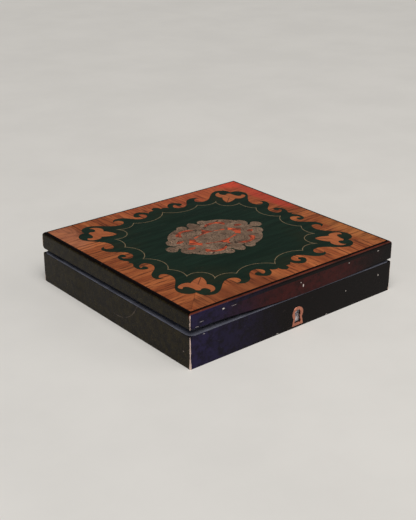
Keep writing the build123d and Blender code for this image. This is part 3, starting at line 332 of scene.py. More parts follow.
# ---------------------------------------------------------------- finishes
def ebonised(name, c, lid=False, moulding=False):
    """Ebonised wood, coloured by its place on the case, partly with painted light.

    The polish is near black. The front turns blue towards the left corner,
    partly a haze on the old polish and partly a painted reflection, and the
    lid's front has a red-brown patch in its middle, partly red-brown wood
    showing through and partly a painted sheen. The left side carries a painted
    olive reflection and one curved scratch. On the moulding, the front rounding
    has a red-brown line, partly rubbed back and partly a painted highlight, and
    the back edge a pale line that is a painted highlight.
    """
    f = Finish(
        name, roughness=0.3, Specular_IOR_Level=0.08, Coat_Weight=0.02, Coat_Roughness=0.16
    )
    long_grain = f.noise(9.0, 6.0, 0.6, f.stretched((14, 90, 90)), 0.4)
    cloud = f.noise(22.0, 5.0, 0.62)
    mottle = f.noise(150.0, 6.0, 0.7)
    base = f.mix(f.step(long_grain, 0.45, 0.8), c.black, [v * 2.2 for v in c.black])
    on_front = f.math("LESS_THAN", f.y, SKIN - HALF_Y)
    on_left = f.math("MULTIPLY", f.math("LESS_THAN", f.x, SKIN - HALF_X), f.math("SUBTRACT", 1.0, on_front))
    # the front turns blue towards the left corner: partly a haze on the polish, partly a painted reflection
    reach = f.math("ADD", f.x, f.math("MULTIPLY", f.math("SUBTRACT", cloud, 0.5), 0.09))
    bloom_and_sheen = f.step(reach, -HALF_X * 0.97, -HALF_X * 0.10, 1.0, 0.0)
    bloom_and_sheen = f.math("MULTIPLY", f.math("MULTIPLY", bloom_and_sheen, on_front), f.step(mottle, 0.34, 0.60, 0.25, 1.0))
    base = f.mix(bloom_and_sheen, base, c.bloom_and_sheen)
    if lid:
        # a red-brown patch in the middle of the lid front: partly red-brown wood showing through, partly a painted
        # sheen
        russet_and_sheen = f.step(f.math("ABSOLUTE", f.math("SUBTRACT", reach, 0.01)), 0.03, 0.13, 0.85, 0.0)
        russet_and_sheen = f.math("MULTIPLY", russet_and_sheen, f.step(mottle, 0.3, 0.6, 0.35, 1.0))
        base = f.mix(f.math("MULTIPLY", russet_and_sheen, on_front), base, c.russet_and_sheen)
    # a painted olive reflection over the left side, broken by mottling
    dust = f.math("MULTIPLY", on_left, f.step(mottle, 0.38, 0.66, 0.15, 1.0))
    base = f.mix(dust, base, c.olive)
    fleck = f.math("MULTIPLY", on_left, f.step(f.noise(620.0, 3.0, 0.6), 0.58, 0.72))
    base = f.mix(f.math("MULTIPLY", fleck, 0.6), base, [v * 5.0 for v in c.olive])
    # the curved scratch is a ring about a point on the side, broken by noise
    across = f.math("SUBTRACT", f.y, -0.012)
    up = f.math("SUBTRACT", f.z, 0.052)
    away = f.math("SQRT", f.math("ADD", f.math("MULTIPLY", across, across), f.math("MULTIPLY", up, up)))
    ring = f.step(f.math("ABSOLUTE", f.math("SUBTRACT", away, 0.040)), 0.00035, 0.0001)
    ring = f.math("MULTIPLY", f.math("MULTIPLY", ring, on_left), f.step(cloud, 0.45, 0.62))
    base = f.mix(f.math("MULTIPLY", ring, 0.4), base, c.chip)
    if moulding:
        # a red-brown line along the front edge's rounding: partly rubbed back to red-brown wood, partly a painted
        # highlight
        edge = f.math("ADD", f.y, HALF_Y)
        line = f.math("MULTIPLY", f.step(edge, 0.0004, 0.0009), f.step(edge, 0.0017, 0.0023, 1.0, 0.0))
        line = f.math("MULTIPLY", line, f.step(cloud, 0.30, 0.55, 0.25, 1.0))
        base = f.mix(f.math("MULTIPLY", line, f.math("LESS_THAN", f.y, 0.0)), base, c.rubbed)
        # a pale line along the back edge: a painted highlight of the rounding seen edge-on
        back = f.step(f.math("SUBTRACT", HALF_Y, f.y), 0.0016, 0.0004)
        base = f.mix(f.math("MULTIPLY", back, 0.30), base, c.chip)
    # the larger chips, each a ragged oval at its own place along the front
    for x, z, wide, high in FRONT_CHIPS["lid" if lid else "base"]:
        dx = f.math("DIVIDE", f.math("SUBTRACT", f.x, x * HALF_X), wide)
        dz = f.math("DIVIDE", f.math("SUBTRACT", f.z, z * TOP), high)
        away = f.math("ADD", f.math("MULTIPLY", dx, dx), f.math("MULTIPLY", dz, dz))
        away = f.math("ADD", away, f.math("MULTIPLY", f.math("SUBTRACT", mottle, 0.5), 3.0))
        spot = f.math("MULTIPLY", f.step(away, 1.0, 0.6), on_front)
        base = f.mix(f.math("MULTIPLY", spot, 0.8), base, CHIP_WHITE)
    # scuffs: short fine lines in two directions
    scuff = f.step(f.noise(30.0, 2.0, 0.5, f.stretched((2.0, 2.0, 60.0), (0.3, 0.5, 0.0))), 0.72, 0.75)
    scuff = f.math("MULTIPLY", scuff, f.step(mottle, 0.52, 0.66, 0.0, 0.25))
    base = f.mix(scuff, base, c.chip)
    nick = f.step(f.noise(300.0, 4.0, 0.7, f.stretched((0.35, 1.0, 1.0))), 0.66, 0.72)
    base = f.mix(f.math("MULTIPLY", f.math("MULTIPLY", nick, bloom_and_sheen), 0.5), base, c.nick)
    # chips: a few cells' middles
    chance = f.node("ShaderNodeSeparateColor")
    f.link(f.cells(70.0, output="Color"), chance.inputs[0])
    chip = f.math("MULTIPLY", f.math("GREATER_THAN", chance.outputs[0], 0.93), f.step(f.cells(70.0), 0.13, 0.09))
    base = f.mix(f.math("MULTIPLY", chip, 0.75), base, c.chip)
    # worn upright corners, wider low down, and worn specks along the lower arrises
    low = f.step(f.z, 0.0, 0.012, 1.0, 0.35)
    band = f.math("MULTIPLY_ADD", f.math("SUBTRACT", mottle, 0.40), 0.0026, f.math("MULTIPLY", low, 0.0012))
    side = f.math("SUBTRACT", HALF_X, f.math("ABSOLUTE", f.x))
    face = f.math("SUBTRACT", HALF_Y, f.math("ABSOLUTE", f.y))
    corner = f.math("MAXIMUM", side, face)
    worn = f.math("LESS_THAN", corner, band)
    foot = f.math("MULTIPLY", f.math("LESS_THAN", f.z, 0.0007), f.step(mottle, 0.60, 0.66))
    wear = f.math("MAXIMUM", worn, f.math("MULTIPLY", foot, 0.30))
    base = f.mix(wear, base, c.chip)
    rough = f.step(cloud, 0.3, 0.75, 0.16, 0.42)
    rough = f.math("MAXIMUM", rough, f.math("MULTIPLY", wear, 0.6))
    relief = f.bump(long_grain, 0.12, 0.0003)
    relief = f.bump(mottle, 0.10, 0.0002, relief)
    relief = f.bump(f.math("SUBTRACT", 1.0, f.math("MAXIMUM", chip, wear)), 0.4, 0.0003, relief)
    return f.finish(base, rough, relief)


def rosewood(name, c, crossbanded=True):
    """Rosewood: streaked figure, crossbanded and mitred at the corners when asked."""
    f = Finish(name, roughness=0.3, Specular_IOR_Level=0.22, Coat_Weight=0.05, Coat_Roughness=0.14)
    along_y = f.stretched((1.0, 0.07, 1.0))
    along_x = f.stretched((0.07, 1.0, 1.0))

    def figure(vector, seed_shift):
        shifted = f.node("ShaderNodeVectorMath", operation="ADD")
        f.link(vector, shifted.inputs[0])
        shifted.inputs[1].default_value = (seed_shift, seed_shift, 0)
        at = shifted.outputs[0]
        streak = f.noise(330.0, 6.0, 0.68, at, 0.15)
        fine = f.noise(1100.0, 3.0, 0.6, at)
        broad = f.noise(70.0, 3.0, 0.5, at, 0.4)
        tone = f.mix(f.step(broad, 0.34, 0.66), c.rosewood, c.rosewood_pale)
        tone = f.mix(f.step(streak, 0.47, 0.63, 0.0, 0.80), tone, c.rosewood_dark)
        return f.mix(f.step(fine, 0.54, 0.68, 0.0, 0.50), tone, c.rosewood_dark), streak

    if crossbanded:
        to_side = f.math("SUBTRACT", HALF_X, f.math("ABSOLUTE", f.x))
        to_face = f.math("SUBTRACT", HALF_Y, f.math("ABSOLUTE", f.y))
        side_band = f.math("LESS_THAN", to_side, to_face)
        tone_y, streak_y = figure(along_y, 0.0)
        tone_x, streak_x = figure(along_x, 0.37)
        tone = f.mix(side_band, tone_y, tone_x)
        streak = f.math(
            "ADD",
            f.math("MULTIPLY", streak_x, side_band),
            f.math("MULTIPLY", streak_y, f.math("SUBTRACT", 1.0, side_band)),
        )
        mitre = f.step(f.math("ABSOLUTE", f.math("SUBTRACT", to_side, to_face)), 0.0002, 0.0005, 0.5, 1.0)
        # leaves of veneer, each with a slightly different tone
        run = f.math(
            "ADD",
            f.math("MULTIPLY", f.y, side_band),
            f.math("MULTIPLY", f.x, f.math("SUBTRACT", 1.0, side_band)),
        )
        leaf = f.math("FLOOR", f.math("MULTIPLY", f.math("ADD", run, 0.011), 17.0))
        random = f.node("ShaderNodeTexWhiteNoise", noise_dimensions="2D")
        pair = f.node("ShaderNodeCombineXYZ")
        f.link(leaf, pair.inputs[0])
        f.link(side_band, pair.inputs[1])
        f.link(pair.outputs[0], random.inputs["Vector"])
        shade = f.step(random.outputs["Value"], 0.0, 1.0, 0.84, 1.10)
        dark = f.mix(1.0, tone, f.grey(f.math("MULTIPLY", shade, mitre)), "MULTIPLY")
        # faded pink towards the back and the right
        fade = f.math("ADD", f.math("MULTIPLY", f.y, 4.2), f.math("MULTIPLY", f.x, 2.2))
        fade = f.math("ADD", fade, f.math("MULTIPLY", f.noise(16.0, 3.0, 0.5), 0.55))
        pink = f.step(fade, 0.55, 1.25, 0.0, 0.62)
        tone = f.mix(pink, dark, f.mix(f.step(streak, 0.45, 0.75, 0.0, 0.6), c.rosewood_red, c.rosewood_dark))
        ragged = f.math("MULTIPLY", f.math("SUBTRACT", f.noise(60.0, 4.0, 0.6), 0.5), 1.3)
        for x, y, wide, deep, share, stain in STAINS:
            dx = f.math("DIVIDE", f.math("SUBTRACT", f.x, x * HALF_X), wide)
            dy = f.math("DIVIDE", f.math("SUBTRACT", f.y, y * HALF_Y), deep)
            away = f.math("ADD", f.math("MULTIPLY", dx, dx), f.math("MULTIPLY", dy, dy))
            near = f.step(f.math("ADD", away, ragged), 1.2, 0.2, 0.0, share)
            near = f.math("MULTIPLY", near, f.step(streak, 0.45, 0.65, 1.0, 0.35))
            tone = f.mix(near, tone, stain)
    else:
        tone, streak = figure(along_y, 0.9)
        tone = f.mix(0.55, tone, c.fleur)
        # a dark vein down the middle of each flower, from its tip
        fold = f.node("ShaderNodeVectorMath", operation="ABSOLUTE")
        f.link(f.place, fold.inputs[0])
        part = f.node("ShaderNodeSeparateXYZ")
        f.link(fold.outputs[0], part.inputs[0])
        from_tip_x = f.math("SUBTRACT", part.outputs[0], FLEUR_TIP[0])
        from_tip_y = f.math("SUBTRACT", part.outputs[1], FLEUR_TIP[1])
        off = f.math("SUBTRACT", f.math("MULTIPLY", from_tip_x, 0.658), f.math("MULTIPLY", from_tip_y, 0.752))
        along = f.math("ADD", f.math("MULTIPLY", from_tip_x, 0.752), f.math("MULTIPLY", from_tip_y, 0.658))
        vein = f.step(f.math("ABSOLUTE", off), 0.0008, 0.0003)
        vein = f.math("MULTIPLY", vein, f.step(along, 0.016, 0.021, 0.75, 0.0))
        tone = f.mix(vein, tone, c.rosewood_dark)
    fleck = f.step(f.noise(1300.0, 2.0, 0.5), 0.70, 0.78, 0.0, 0.35)
    tone = f.mix(fleck, tone, c.rosewood_dark)
    cloud = f.noise(30.0, 4.0, 0.6)
    relief = f.bump(streak, 0.10, 0.0002)
    relief = f.bump(f.noise(40.0, 2.0, 0.5), 0.05, 0.0006, relief)
    return f.finish(tone, f.step(cloud, 0.3, 0.7, 0.20, 0.38), relief)


def dark_veneer(name, c):
    """Green-black veneer with an olive haze towards its edge and fine scratches."""
    f = Finish(name, roughness=0.3, Specular_IOR_Level=0.12, Coat_Weight=0.03, Coat_Roughness=0.15)
    grain = f.noise(160.0, 5.0, 0.6, f.stretched((0.12, 1.0, 1.0)), 0.3)
    cloud = f.noise(24.0, 4.0, 0.6)
    base = f.mix(f.step(grain, 0.35, 0.75), c.panel, [v * 1.7 for v in c.panel])
    ring = f.math("ADD", f.math("MULTIPLY", f.x, f.x), f.math("MULTIPLY", f.y, f.y))
    haze = f.math("MULTIPLY", f.step(ring, 0.004, 0.014), f.step(cloud, 0.42, 0.70, 0.0, 0.55))
    base = f.mix(haze, base, c.panel_olive)
    scratch = f.step(f.noise(26.0, 2.0, 0.5, f.stretched((3.0, 60.0, 1.0), (0, 0, 0.7))), 0.715, 0.735)
    base = f.mix(f.math("MULTIPLY", scratch, 0.16), base, c.brass)
    chance = f.node("ShaderNodeSeparateColor")
    f.link(f.cells(75.0, output="Color"), chance.inputs[0])
    speck = f.math("MULTIPLY", f.math("GREATER_THAN", chance.outputs[0], 0.94), f.step(f.cells(75.0), 0.06, 0.04))
    base = f.mix(f.math("MULTIPLY", speck, 0.7), base, c.brass_bright)
    relief = f.bump(grain, 0.08, 0.0002)
    return f.finish(base, f.step(cloud, 0.3, 0.7, 0.20, 0.40), relief)


def inlay_brass(name, c):
    """Tarnished inlaid brass, engraved with leaf veins that mirror about both axes."""
    f = Finish(name, roughness=0.42, metallic=0.30)
    fold = f.node("ShaderNodeVectorMath", operation="ABSOLUTE")
    f.link(f.place, fold.inputs[0])
    folded = fold.outputs[0]
    swirl = f.noise(70.0, 1.5, 0.4, folded, 1.2)
    veins = f.math("SINE", f.math("MULTIPLY", swirl, 95.0))
    line = f.step(veins, 0.35, 0.85)
    fine = f.math("SINE", f.math("MULTIPLY", f.noise(130.0, 1.0, 0.4, folded, 0.6), 120.0))
    hatch = f.step(fine, 0.55, 0.95, 0.0, 0.6)
    tarnish = f.noise(60.0, 5.0, 0.65)
    base = f.mix(f.step(tarnish, 0.35, 0.72), c.brass, c.brass_bright)
    cut = f.math("MAXIMUM", line, hatch)
    base = f.mix(f.math("MULTIPLY", cut, 0.92), base, [v * 0.12 for v in c.brass])
    relief = f.bump(f.math("SUBTRACT", 1.0, cut), 0.55, 0.0004)
    relief = f.bump(f.noise(420.0, 4.0, 0.6), 0.12, 0.0002, relief)
    return f.finish(base, f.step(tarnish, 0.3, 0.75, 0.52, 0.30), relief)


def string_line(name, c):
    """Thin dull metal line, darker where the polish has filled over it."""
    f = Finish(name, roughness=0.5, metallic=0.2)
    dull = f.noise(240.0, 4.0, 0.6)
    base = f.mix(f.step(dull, 0.42, 0.72, 0.0, 0.7), c.stringing, c.panel_olive)
    return f.finish(base, f.step(dull, 0.3, 0.7, 0.4, 0.6), f.bump(dull, 0.15, 0.0002))


def shell(name, c):
    """Red shell under polish, clouded dark and bright."""
    f = Finish(name, roughness=0.22, Coat_Weight=0.6, Coat_Roughness=0.08)
    cloud = f.noise(110.0, 4.0, 0.6, None, 0.8)
    base = f.mix(f.step(cloud, 0.38, 0.66), [v * 0.22 for v in c.shell], c.shell)
    base = f.mix(f.step(cloud, 0.62, 0.75, 0.0, 0.5), base, (0.90, 0.27, 0.08))
    return f.finish(base, f.step(cloud, 0.3, 0.7, 0.3, 0.16), f.bump(cloud, 0.1, 0.0003))


def metal(name, tone, dark, roughness, brushed=(1.0, 1.0, 1.0), spots=0.5):
    """Bare or lacquered metal: brushing, tarnish spots and rubbed places."""
    f = Finish(name, roughness=roughness, metallic=1.0)
    brush = f.noise(1400.0, 3.0, 0.6, f.stretched(brushed))
    spot = f.noise(130.0, 6.0, 0.68)
    cloud = f.noise(38.0, 4.0, 0.6)
    base = f.mix(f.step(cloud, 0.32, 0.70, 0.0, 0.45), tone, dark)
    base = f.mix(f.step(spot, 0.58, 0.74, 0.0, spots), base, dark)
    rough = f.math("ADD", f.step(spot, 0.4, 0.7, roughness * 0.8, roughness * 1.5), f.step(brush, 0.3, 0.7, 0.0, 0.08))
    relief = f.bump(brush, 0.10, 0.00012)
    return f.finish(base, rough, f.bump(spot, 0.10, 0.0002, relief))


def rim_finish(name, c):
    """Matt slate-grey covering of the dust lip, with pale flecks."""
    f = Finish(name, roughness=0.6)
    weave = f.noise(900.0, 3.0, 0.6)
    cloud = f.noise(50.0, 4.0, 0.6)
    base = f.mix(f.step(cloud, 0.35, 0.7), c.rim, [v * 1.55 for v in c.rim])
    base = f.mix(f.step(weave, 0.60, 0.75, 0.0, 0.3), base, c.chip)
    return f.finish(base, f.step(cloud, 0.3, 0.7, 0.5, 0.72), f.bump(weave, 0.25, 0.0003))


def plain_wood(name, tone, dark, way=(0.08, 1.0, 1.0)):
    """Oiled carcass wood with rings and pores."""
    f = Finish(name, roughness=0.55)
    grain = f.noise(170.0, 6.0, 0.62, f.stretched(way), 0.5)
    pores = f.noise(1100.0, 2.0, 0.6, f.stretched([v * 0.5 if v < 1 else v for v in way]))
    base = f.mix(f.step(grain, 0.35, 0.72), tone, dark)
    base = f.mix(f.step(pores, 0.62, 0.74, 0.0, 0.6), base, [v * 0.4 for v in dark])
    relief = f.bump(grain, 0.2, 0.0003)
    return f.finish(base, f.step(grain, 0.3, 0.7, 0.45, 0.65), f.bump(pores, 0.2, 0.0002, relief))


def velvet(name, tone):
    """Crushed silk velvet."""
    f = Finish(name, roughness=0.85, Sheen_Weight=0.9, Sheen_Roughness=0.35)
    f.shader.inputs["Sheen Tint"].default_value = (1.0, 0.55, 0.60, 1)
    pile = f.noise(2600.0, 3.0, 0.7)
    crush = f.noise(38.0, 5.0, 0.62, None, 0.8)
    base = f.mix(f.step(crush, 0.35, 0.70), [v * 0.5 for v in tone], tone)
    base = f.mix(f.step(pile, 0.5, 0.8, 0.0, 0.3), base, [min(1.0, v * 2.2) for v in tone])
    relief = f.bump(crush, 0.25, 0.0012)
    return f.finish(base, f.step(crush, 0.3, 0.7, 0.75, 0.95), f.bump(pile, 0.35, 0.0003, relief))


def marbled_paper(name):
    """Marbled lining paper: warped veins of red, ochre and ink on a dark ground."""
    f = Finish(name, roughness=0.7)
    warp = f.noise(38.0, 4.0, 0.6, None, 2.2)
    vein = f.math("SINE", f.math("MULTIPLY", warp, 42.0))
    drops = f.cells(210.0)
    base = f.mix(f.step(vein, -0.2, 0.5), (0.085, 0.014, 0.012), (0.26, 0.075, 0.035))
    base = f.mix(f.step(vein, 0.72, 0.93, 0.0, 0.8), base, (0.46, 0.29, 0.12))
    base = f.mix(f.step(drops, 0.20, 0.12, 0.0, 0.5), base, (0.035, 0.05, 0.06))
    fibre = f.noise(1500.0, 3.0, 0.6)
    return f.finish(base, f.step(fibre, 0.3, 0.7, 0.62, 0.8), f.bump(fibre, 0.2, 0.0002))


def clear_glass(name):
    """Old thin glass with a slight tint and faint waviness."""
    f = Finish(name, roughness=0.03, IOR=1.5, Transmission_Weight=1.0)
    wave = f.noise(14.0, 2.0, 0.5)
    smear = f.noise(60.0, 5.0, 0.65)
    base = f.mix(f.step(wave, 0.3, 0.7), (0.90, 0.96, 0.93), (0.95, 0.98, 0.96))
    return f.finish(base, f.step(smear, 0.55, 0.8, 0.02, 0.12), f.bump(wave, 0.08, 0.001))


# ------------------------------------------------------------- new meshes
def grid_mesh(name, points, close_u=False, close_v=False):
    """A quad mesh over a grid of points of shape (rows, columns, 3).

    Faces join each point to its neighbours; either direction may close on
    itself.
    """
    rows, columns = points.shape[:2]
    index = np.arange(rows * columns).reshape(rows, columns)
    if close_u:
        index = np.vstack([index, index[:1]])
    if close_v:
        index = np.hstack([index, index[:, :1]])
    quads = np.stack([index[:-1, :-1], index[1:, :-1], index[1:, 1:], index[:-1, 1:]], axis=-1)
    mesh = bpy.data.meshes.new(name)
    mesh.from_pydata(points.reshape(-1, 3).tolist(), [], quads.reshape(-1, 4).tolist())
    mesh.validate()
    piece = bpy.data.objects.new(name, mesh)
    bpy.context.scene.collection.objects.link(piece)
    mesh.polygons.foreach_set("use_smooth", np.ones(len(mesh.polygons), dtype=bool))
    return piece


def face_out(piece):
    """Merge doubles and turn every face outwards."""
    work = bmesh.new()
    work.from_mesh(piece.data)
    bmesh.ops.remove_doubles(work, verts=work.verts, dist=1e-7)
    bmesh.ops.recalc_face_normals(work, faces=work.faces)
    work.to_mesh(piece.data)
    work.free()


def paint(piece, material, body):
    """Give a new piece its material, record slot and body."""
    piece.data.materials.clear()
    piece.data.materials.append(material)
    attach(piece, body)


# --------------------------------------------------------------- operators
class MUSICBOX_OT_case(bpy.types.Operator):
    """Finish the ebonised base and lid"""

    bl_idname = "musicbox.case"
    bl_label = "Case"

    def execute(self, context):
        c = context.scene.musicbox_case
        walls = ["front_wall", "left_wall", "back_wall", "right_wall"]
        dress(ebonised("ebony_base", c), *walls, "glass_frame")
        rails = ["lid_front_rail", "lid_left_rail", "lid_back_rail", "lid_right_rail"]
        dress(ebonised("ebony_lid", c, lid=True), *rails)
        dress(ebonised("ebony_moulding", c, moulding=True), "lid_moulding")
        dress(rim_finish("slate_rim", c), "rim_liner")
        return {"FINISHED"}


class MUSICBOX_OT_marquetry(bpy.types.Operator):
    """Finish the veneers, brass and shell of the lid"""

    bl_idname = "musicbox.marquetry"
    bl_label = "Marquetry"

    def execute(self, context):
        c = context.scene.musicbox_veneer
        dress(rosewood("rosewood_crossband", c), "rosewood_veneer")
        dress(rosewood("rosewood_fleur", c, crossbanded=False), "fleur_inlays")
        dress(dark_veneer("dark_veneer", c), "dark_panel")
        dress(inlay_brass("engraved_brass", c), "cartouche_brass")
        dress(shell("red_shell", c), "cartouche_shell")
        dress(string_line("string_metal", c), "stringing")
        return {"FINISHED"}


class MUSICBOX_OT_fittings(bpy.types.Operator):
    """Finish the lock, hinges, screws and inside woodwork"""

    bl_idname = "musicbox.fittings"
    bl_label = "Fittings"

    def execute(self, context):
        brass = metal("old_brass", (0.78, 0.56, 0.25), (0.40, 0.24, 0.09), 0.26)
        steel = metal("worn_steel", (0.62, 0.62, 0.63), (0.24, 0.22, 0.21), 0.24, (0.05, 1, 1))
        dress(brass, "base_hinge_leaves", "lid_hinge_leaves", "hinge_pins")
        dress(metal("lock_steel", (0.74, 0.74, 0.78), (0.40, 0.38, 0.40), 0.5), "lock_case")
        dress(steel, "lock_bolt", "link_plate", "base_screws", "lid_screws")
        wood = plain_wood("carcass_wood", (0.34, 0.17, 0.075), (0.15, 0.062, 0.026))
        dress(wood, "bottom_board", "lid_panel", "partitions")
        dress(marbled_paper("marbled_paper"), "lid_lining")
        dress(clear_glass("old_glass"), "glass_pane")
        return {"FINISHED"}


class MUSICBOX_OT_movement(bpy.types.Operator):
    """Finish the cylinder movement and its levers"""

    bl_idname = "musicbox.movement"
    bl_label = "Movement"

    def execute(self, context):
        bed = metal("bedplate_brass", (0.74, 0.52, 0.22), (0.42, 0.26, 0.10), 0.30, (0.03, 1, 1))
        turned = metal("turned_brass", (0.83, 0.62, 0.29), (0.50, 0.32, 0.13), 0.20, (1, 0.04, 0.04))
        comb = metal("comb_steel", (0.60, 0.61, 0.63), (0.28, 0.27, 0.27), 0.20, (1, 0.04, 1))
        pins = metal("pin_steel", (0.66, 0.66, 0.66), (0.35, 0.33, 0.31), 0.22)
        blued = metal("blued_steel", (0.045, 0.075, 0.22), (0.03, 0.03, 0.07), 0.18, spots=0.3)
        dress(bed, "bedplate", "bed_feet", "left_bridge", "cylinder_bridges", "end_plate", "governor_cock")
        dress(turned, "cylinder_tube", "cylinder_caps", "cylinder_wheel", "spring_barrel", "barrel_cap")
        dress(turned, "worm_wheel", "fly", "winding_key", "stop_lever", "comb_base")
        dress(comb, "comb")
        dress(pins, "cylinder_pins", "cylinder_arbor", "governor_arbor", "endless_screw")
        dress(pins, "winding_arbor", "ratchet_wheel", "pivot_posts")
        dress(blued, "movement_screws", "click", "click_spring", "mainspring")
        return {"FINISHED"}


class MUSICBOX_OT_escutcheon(bpy.types.Operator):
    """Make the domed keyhole escutcheon"""

    bl_idname = "musicbox.escutcheon"
    bl_label = "Escutcheon"

    def execute(self, context):
        """Sweep half an ellipse between the outer and the inner outline.

        The first parameter crosses the band in a straight line from outer to
        inner; the band stands out by the square root of one less the square
        of the distance from its middle. The second follows the outline.
        """
        low, high = [Vector(v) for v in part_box("escutcheon")]
        head = (high.x - low.x) * HEAD_SHARE
        centre = high.z - head
        waist = (high.x - low.x) * WAIST_SHARE
        foot = (high.x - low.x) / 2
        hole = head - HOLE_INSET

        def outline(radius, half_waist, half_foot, bottom, steps=64):
            """A keyhole outline in the wall's plane.

            An arc of the radius runs over the top between the points whose
            half width is half_waist; straight lines join its ends to the foot,
            and a straight line closes the foot.
            """
            open_angle = np.arcsin(min(0.98, half_waist / radius))
            turn = np.linspace(-np.pi / 2 + open_angle, 1.5 * np.pi - open_angle, steps)
            arc = np.stack([radius * np.cos(turn), centre + radius * np.sin(turn)], axis=1)
            share = np.linspace(0, 1, 9)[1:, None]
            left = arc[-1] * (1 - share) + np.array([-half_foot, bottom]) * share
            share = np.linspace(0, 1, 13)[1:, None]
            base = np.array([-half_foot, bottom]) * (1 - share) + np.array([half_foot, bottom]) * share
            share = np.linspace(0, 1, 9)[1:-1, None]
            right = np.array([half_foot, bottom]) * (1 - share) + arc[0] * share
            return np.vstack([arc, left, base, right])

        outer = outline(head, waist, foot, low.z)
        inner = outline(hole, waist - BAND, foot - BAND, low.z + BAND)
        across = np.linspace(0, 1, 11)[:, None, None]
        flat = outer[None] * (1 - across) + inner[None] * across
        rise = np.sqrt(np.clip(1 - (2 * across - 1) ** 2, 0, 1)) * BAND_RISE
        front = np.concatenate([flat[..., :1], low.y - rise + 0 * flat[..., :1], flat[..., 1:]], axis=-1)
        back = front[::-1].copy()
        back[..., 1] = high.y
        ring = np.concatenate([front, back], axis=0)
        piece = grid_mesh("escutcheon_ring", ring, close_u=True, close_v=True)
        face_out(piece)
        copper = metal("worn_copper", (0.60, 0.24, 0.16), (0.20, 0.07, 0.05), 0.34, spots=0.8)
        paint(piece, copper, "case")
        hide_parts("escutcheon")
        return {"FINISHED"}


class MUSICBOX_OT_cushion(bpy.types.Operator):
    """Make the stuffed velvet cushion"""

    bl_idname = "musicbox.cushion"
    bl_label = "Cushion"

    def execute(self, context):
        """Make the closed pad, fill it and give it its velvet.

        A point lies at a share of the way out along a rounded rectangle, whose
        radius is the sum of the cosine and the sine, each to the outline power,
        to the inverse of that power. Its height is the root of one less that
        share to the side power, and the top adds a crown that falls with the
        square of the share. Rows run from the middle of the top, over the
        edge, to the middle of the underside; columns run round.
        """
        s = context.scene.musicbox_cushion
        low, high = [Vector(v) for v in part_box("cushion")]
        middle = (low + high) / 2
        half = (high - low) / 2
        half_x = half.x - s.shrink
        half_y = half.y - s.shrink
        turn = np.linspace(0, 2 * np.pi, 160, endpoint=False)
        square = np.abs(np.cos(turn)) ** OUTLINE_POWER + np.abs(np.sin(turn)) ** OUTLINE_POWER
        square = square ** (-1 / OUTLINE_POWER)
        rim = np.stack([np.cos(turn) * square, np.sin(turn) * square], axis=1)
        out = np.concatenate([np.linspace(0.02, 0.96, 24), 0.96 + 0.04 * np.sin(np.linspace(0.1, np.pi / 2, 8))])
        out = np.concatenate([out, out[-2::-1]])
        side = np.concatenate([np.ones(32), -np.ones(31)])
        edge = np.sqrt(np.clip(1 - out**SIDE_POWER, 0, 1))
        height = side * edge * (half.z - s.crown / 2) + (side > 0) * s.crown * (1 - out**2)
        points = np.zeros((len(out), len(turn), 3))
        points[..., 0] = middle.x + out[:, None] * rim[None, :, 0] * half_x
        points[..., 1] = middle.y + out[:, None] * rim[None, :, 1] * half_y
        points[..., 2] = middle.z + height[:, None]
        pad = grid_mesh("velvet_cushion", points, close_v=True)
        self.cap_ends(pad, len(turn), len(out))
        face_out(pad)
        self.swell(context, pad, s, low, high)
        smooth = pad.modifiers.new("smooth", "SUBSURF")
        smooth.levels = 1
        smooth.render_levels = 1
        pile = velvet("crimson_velvet", (0.20, 0.012, 0.022))
        paint(pad, pile, "case")
        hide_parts("cushion")
        return {"FINISHED"}

    def cap_ends(self, pad, columns, rows):
        """Close the two small rings at the middle of the top and underside."""
        work = bmesh.new()
        work.from_mesh(pad.data)
        work.verts.ensure_lookup_table()
        work.faces.new([work.verts[i] for i in range(columns)])
        last = (rows - 1) * columns
        work.faces.new([work.verts[last + i] for i in reversed(range(columns))])
        work.to_mesh(pad.data)
        work.free()

    def swell(self, context, pad, s, low, high):
        """Fill the pad by cloth pressure, and cap how far each point moves."""
        context.view_layer.objects.active = pad
        remesh = pad.modifiers.new("remesh", "REMESH")
        remesh.mode = "VOXEL"
        remesh.voxel_size = s.voxel
        with context.temp_override(object=pad, active_object=pad, selected_objects=[pad]):
            bpy.ops.object.modifier_apply(modifier=remesh.name)
        count = len(pad.data.vertices)
        start = np.zeros(count * 3)
        pad.data.vertices.foreach_get("co", start)
        start = start.reshape(-1, 3)
        cloth = pad.modifiers.new("cloth", "CLOTH")
        cloth.settings.use_pressure = True
        cloth.settings.uniform_pressure_force = s.pressure
        cloth.settings.quality = 5
        cloth.settings.effector_weights.gravity = 0.0
        cloth.point_cache.frame_start = 1
        cloth.point_cache.frame_end = FILL_FRAMES
        for number in range(1, FILL_FRAMES + 1):
            context.scene.frame_set(number)
        graph = context.evaluated_depsgraph_get()
        posed = pad.evaluated_get(graph).to_mesh()
        end = np.zeros(count * 3)
        posed.vertices.foreach_get("co", end)
        end = end.reshape(-1, 3)
        pad.evaluated_get(graph).to_mesh_clear()
        pad.modifiers.remove(cloth)
        context.scene.frame_set(1)
        move = end - start
        far = np.linalg.norm(move, axis=1, keepdims=True)
        move *= np.minimum(1.0, s.travel / np.maximum(far, 1e-9))
        if not np.isfinite(move).all():
            raise RuntimeError("the cushion's filling gave points that are not numbers")
        made = start + move
        made[:, 0] = np.clip(made[:, 0], low.x + 0.0002, high.x - 0.0002)
        made[:, 1] = np.clip(made[:, 1], low.y + 0.0002, high.y - 0.0002)
        made[:, 2] = np.maximum(made[:, 2], low.z + 0.0001)
        pad.data.vertices.foreach_set("co", made.ravel())
        pad.data.update()
        pad.data.polygons.foreach_set("use_smooth", np.ones(len(pad.data.polygons), dtype=bool))


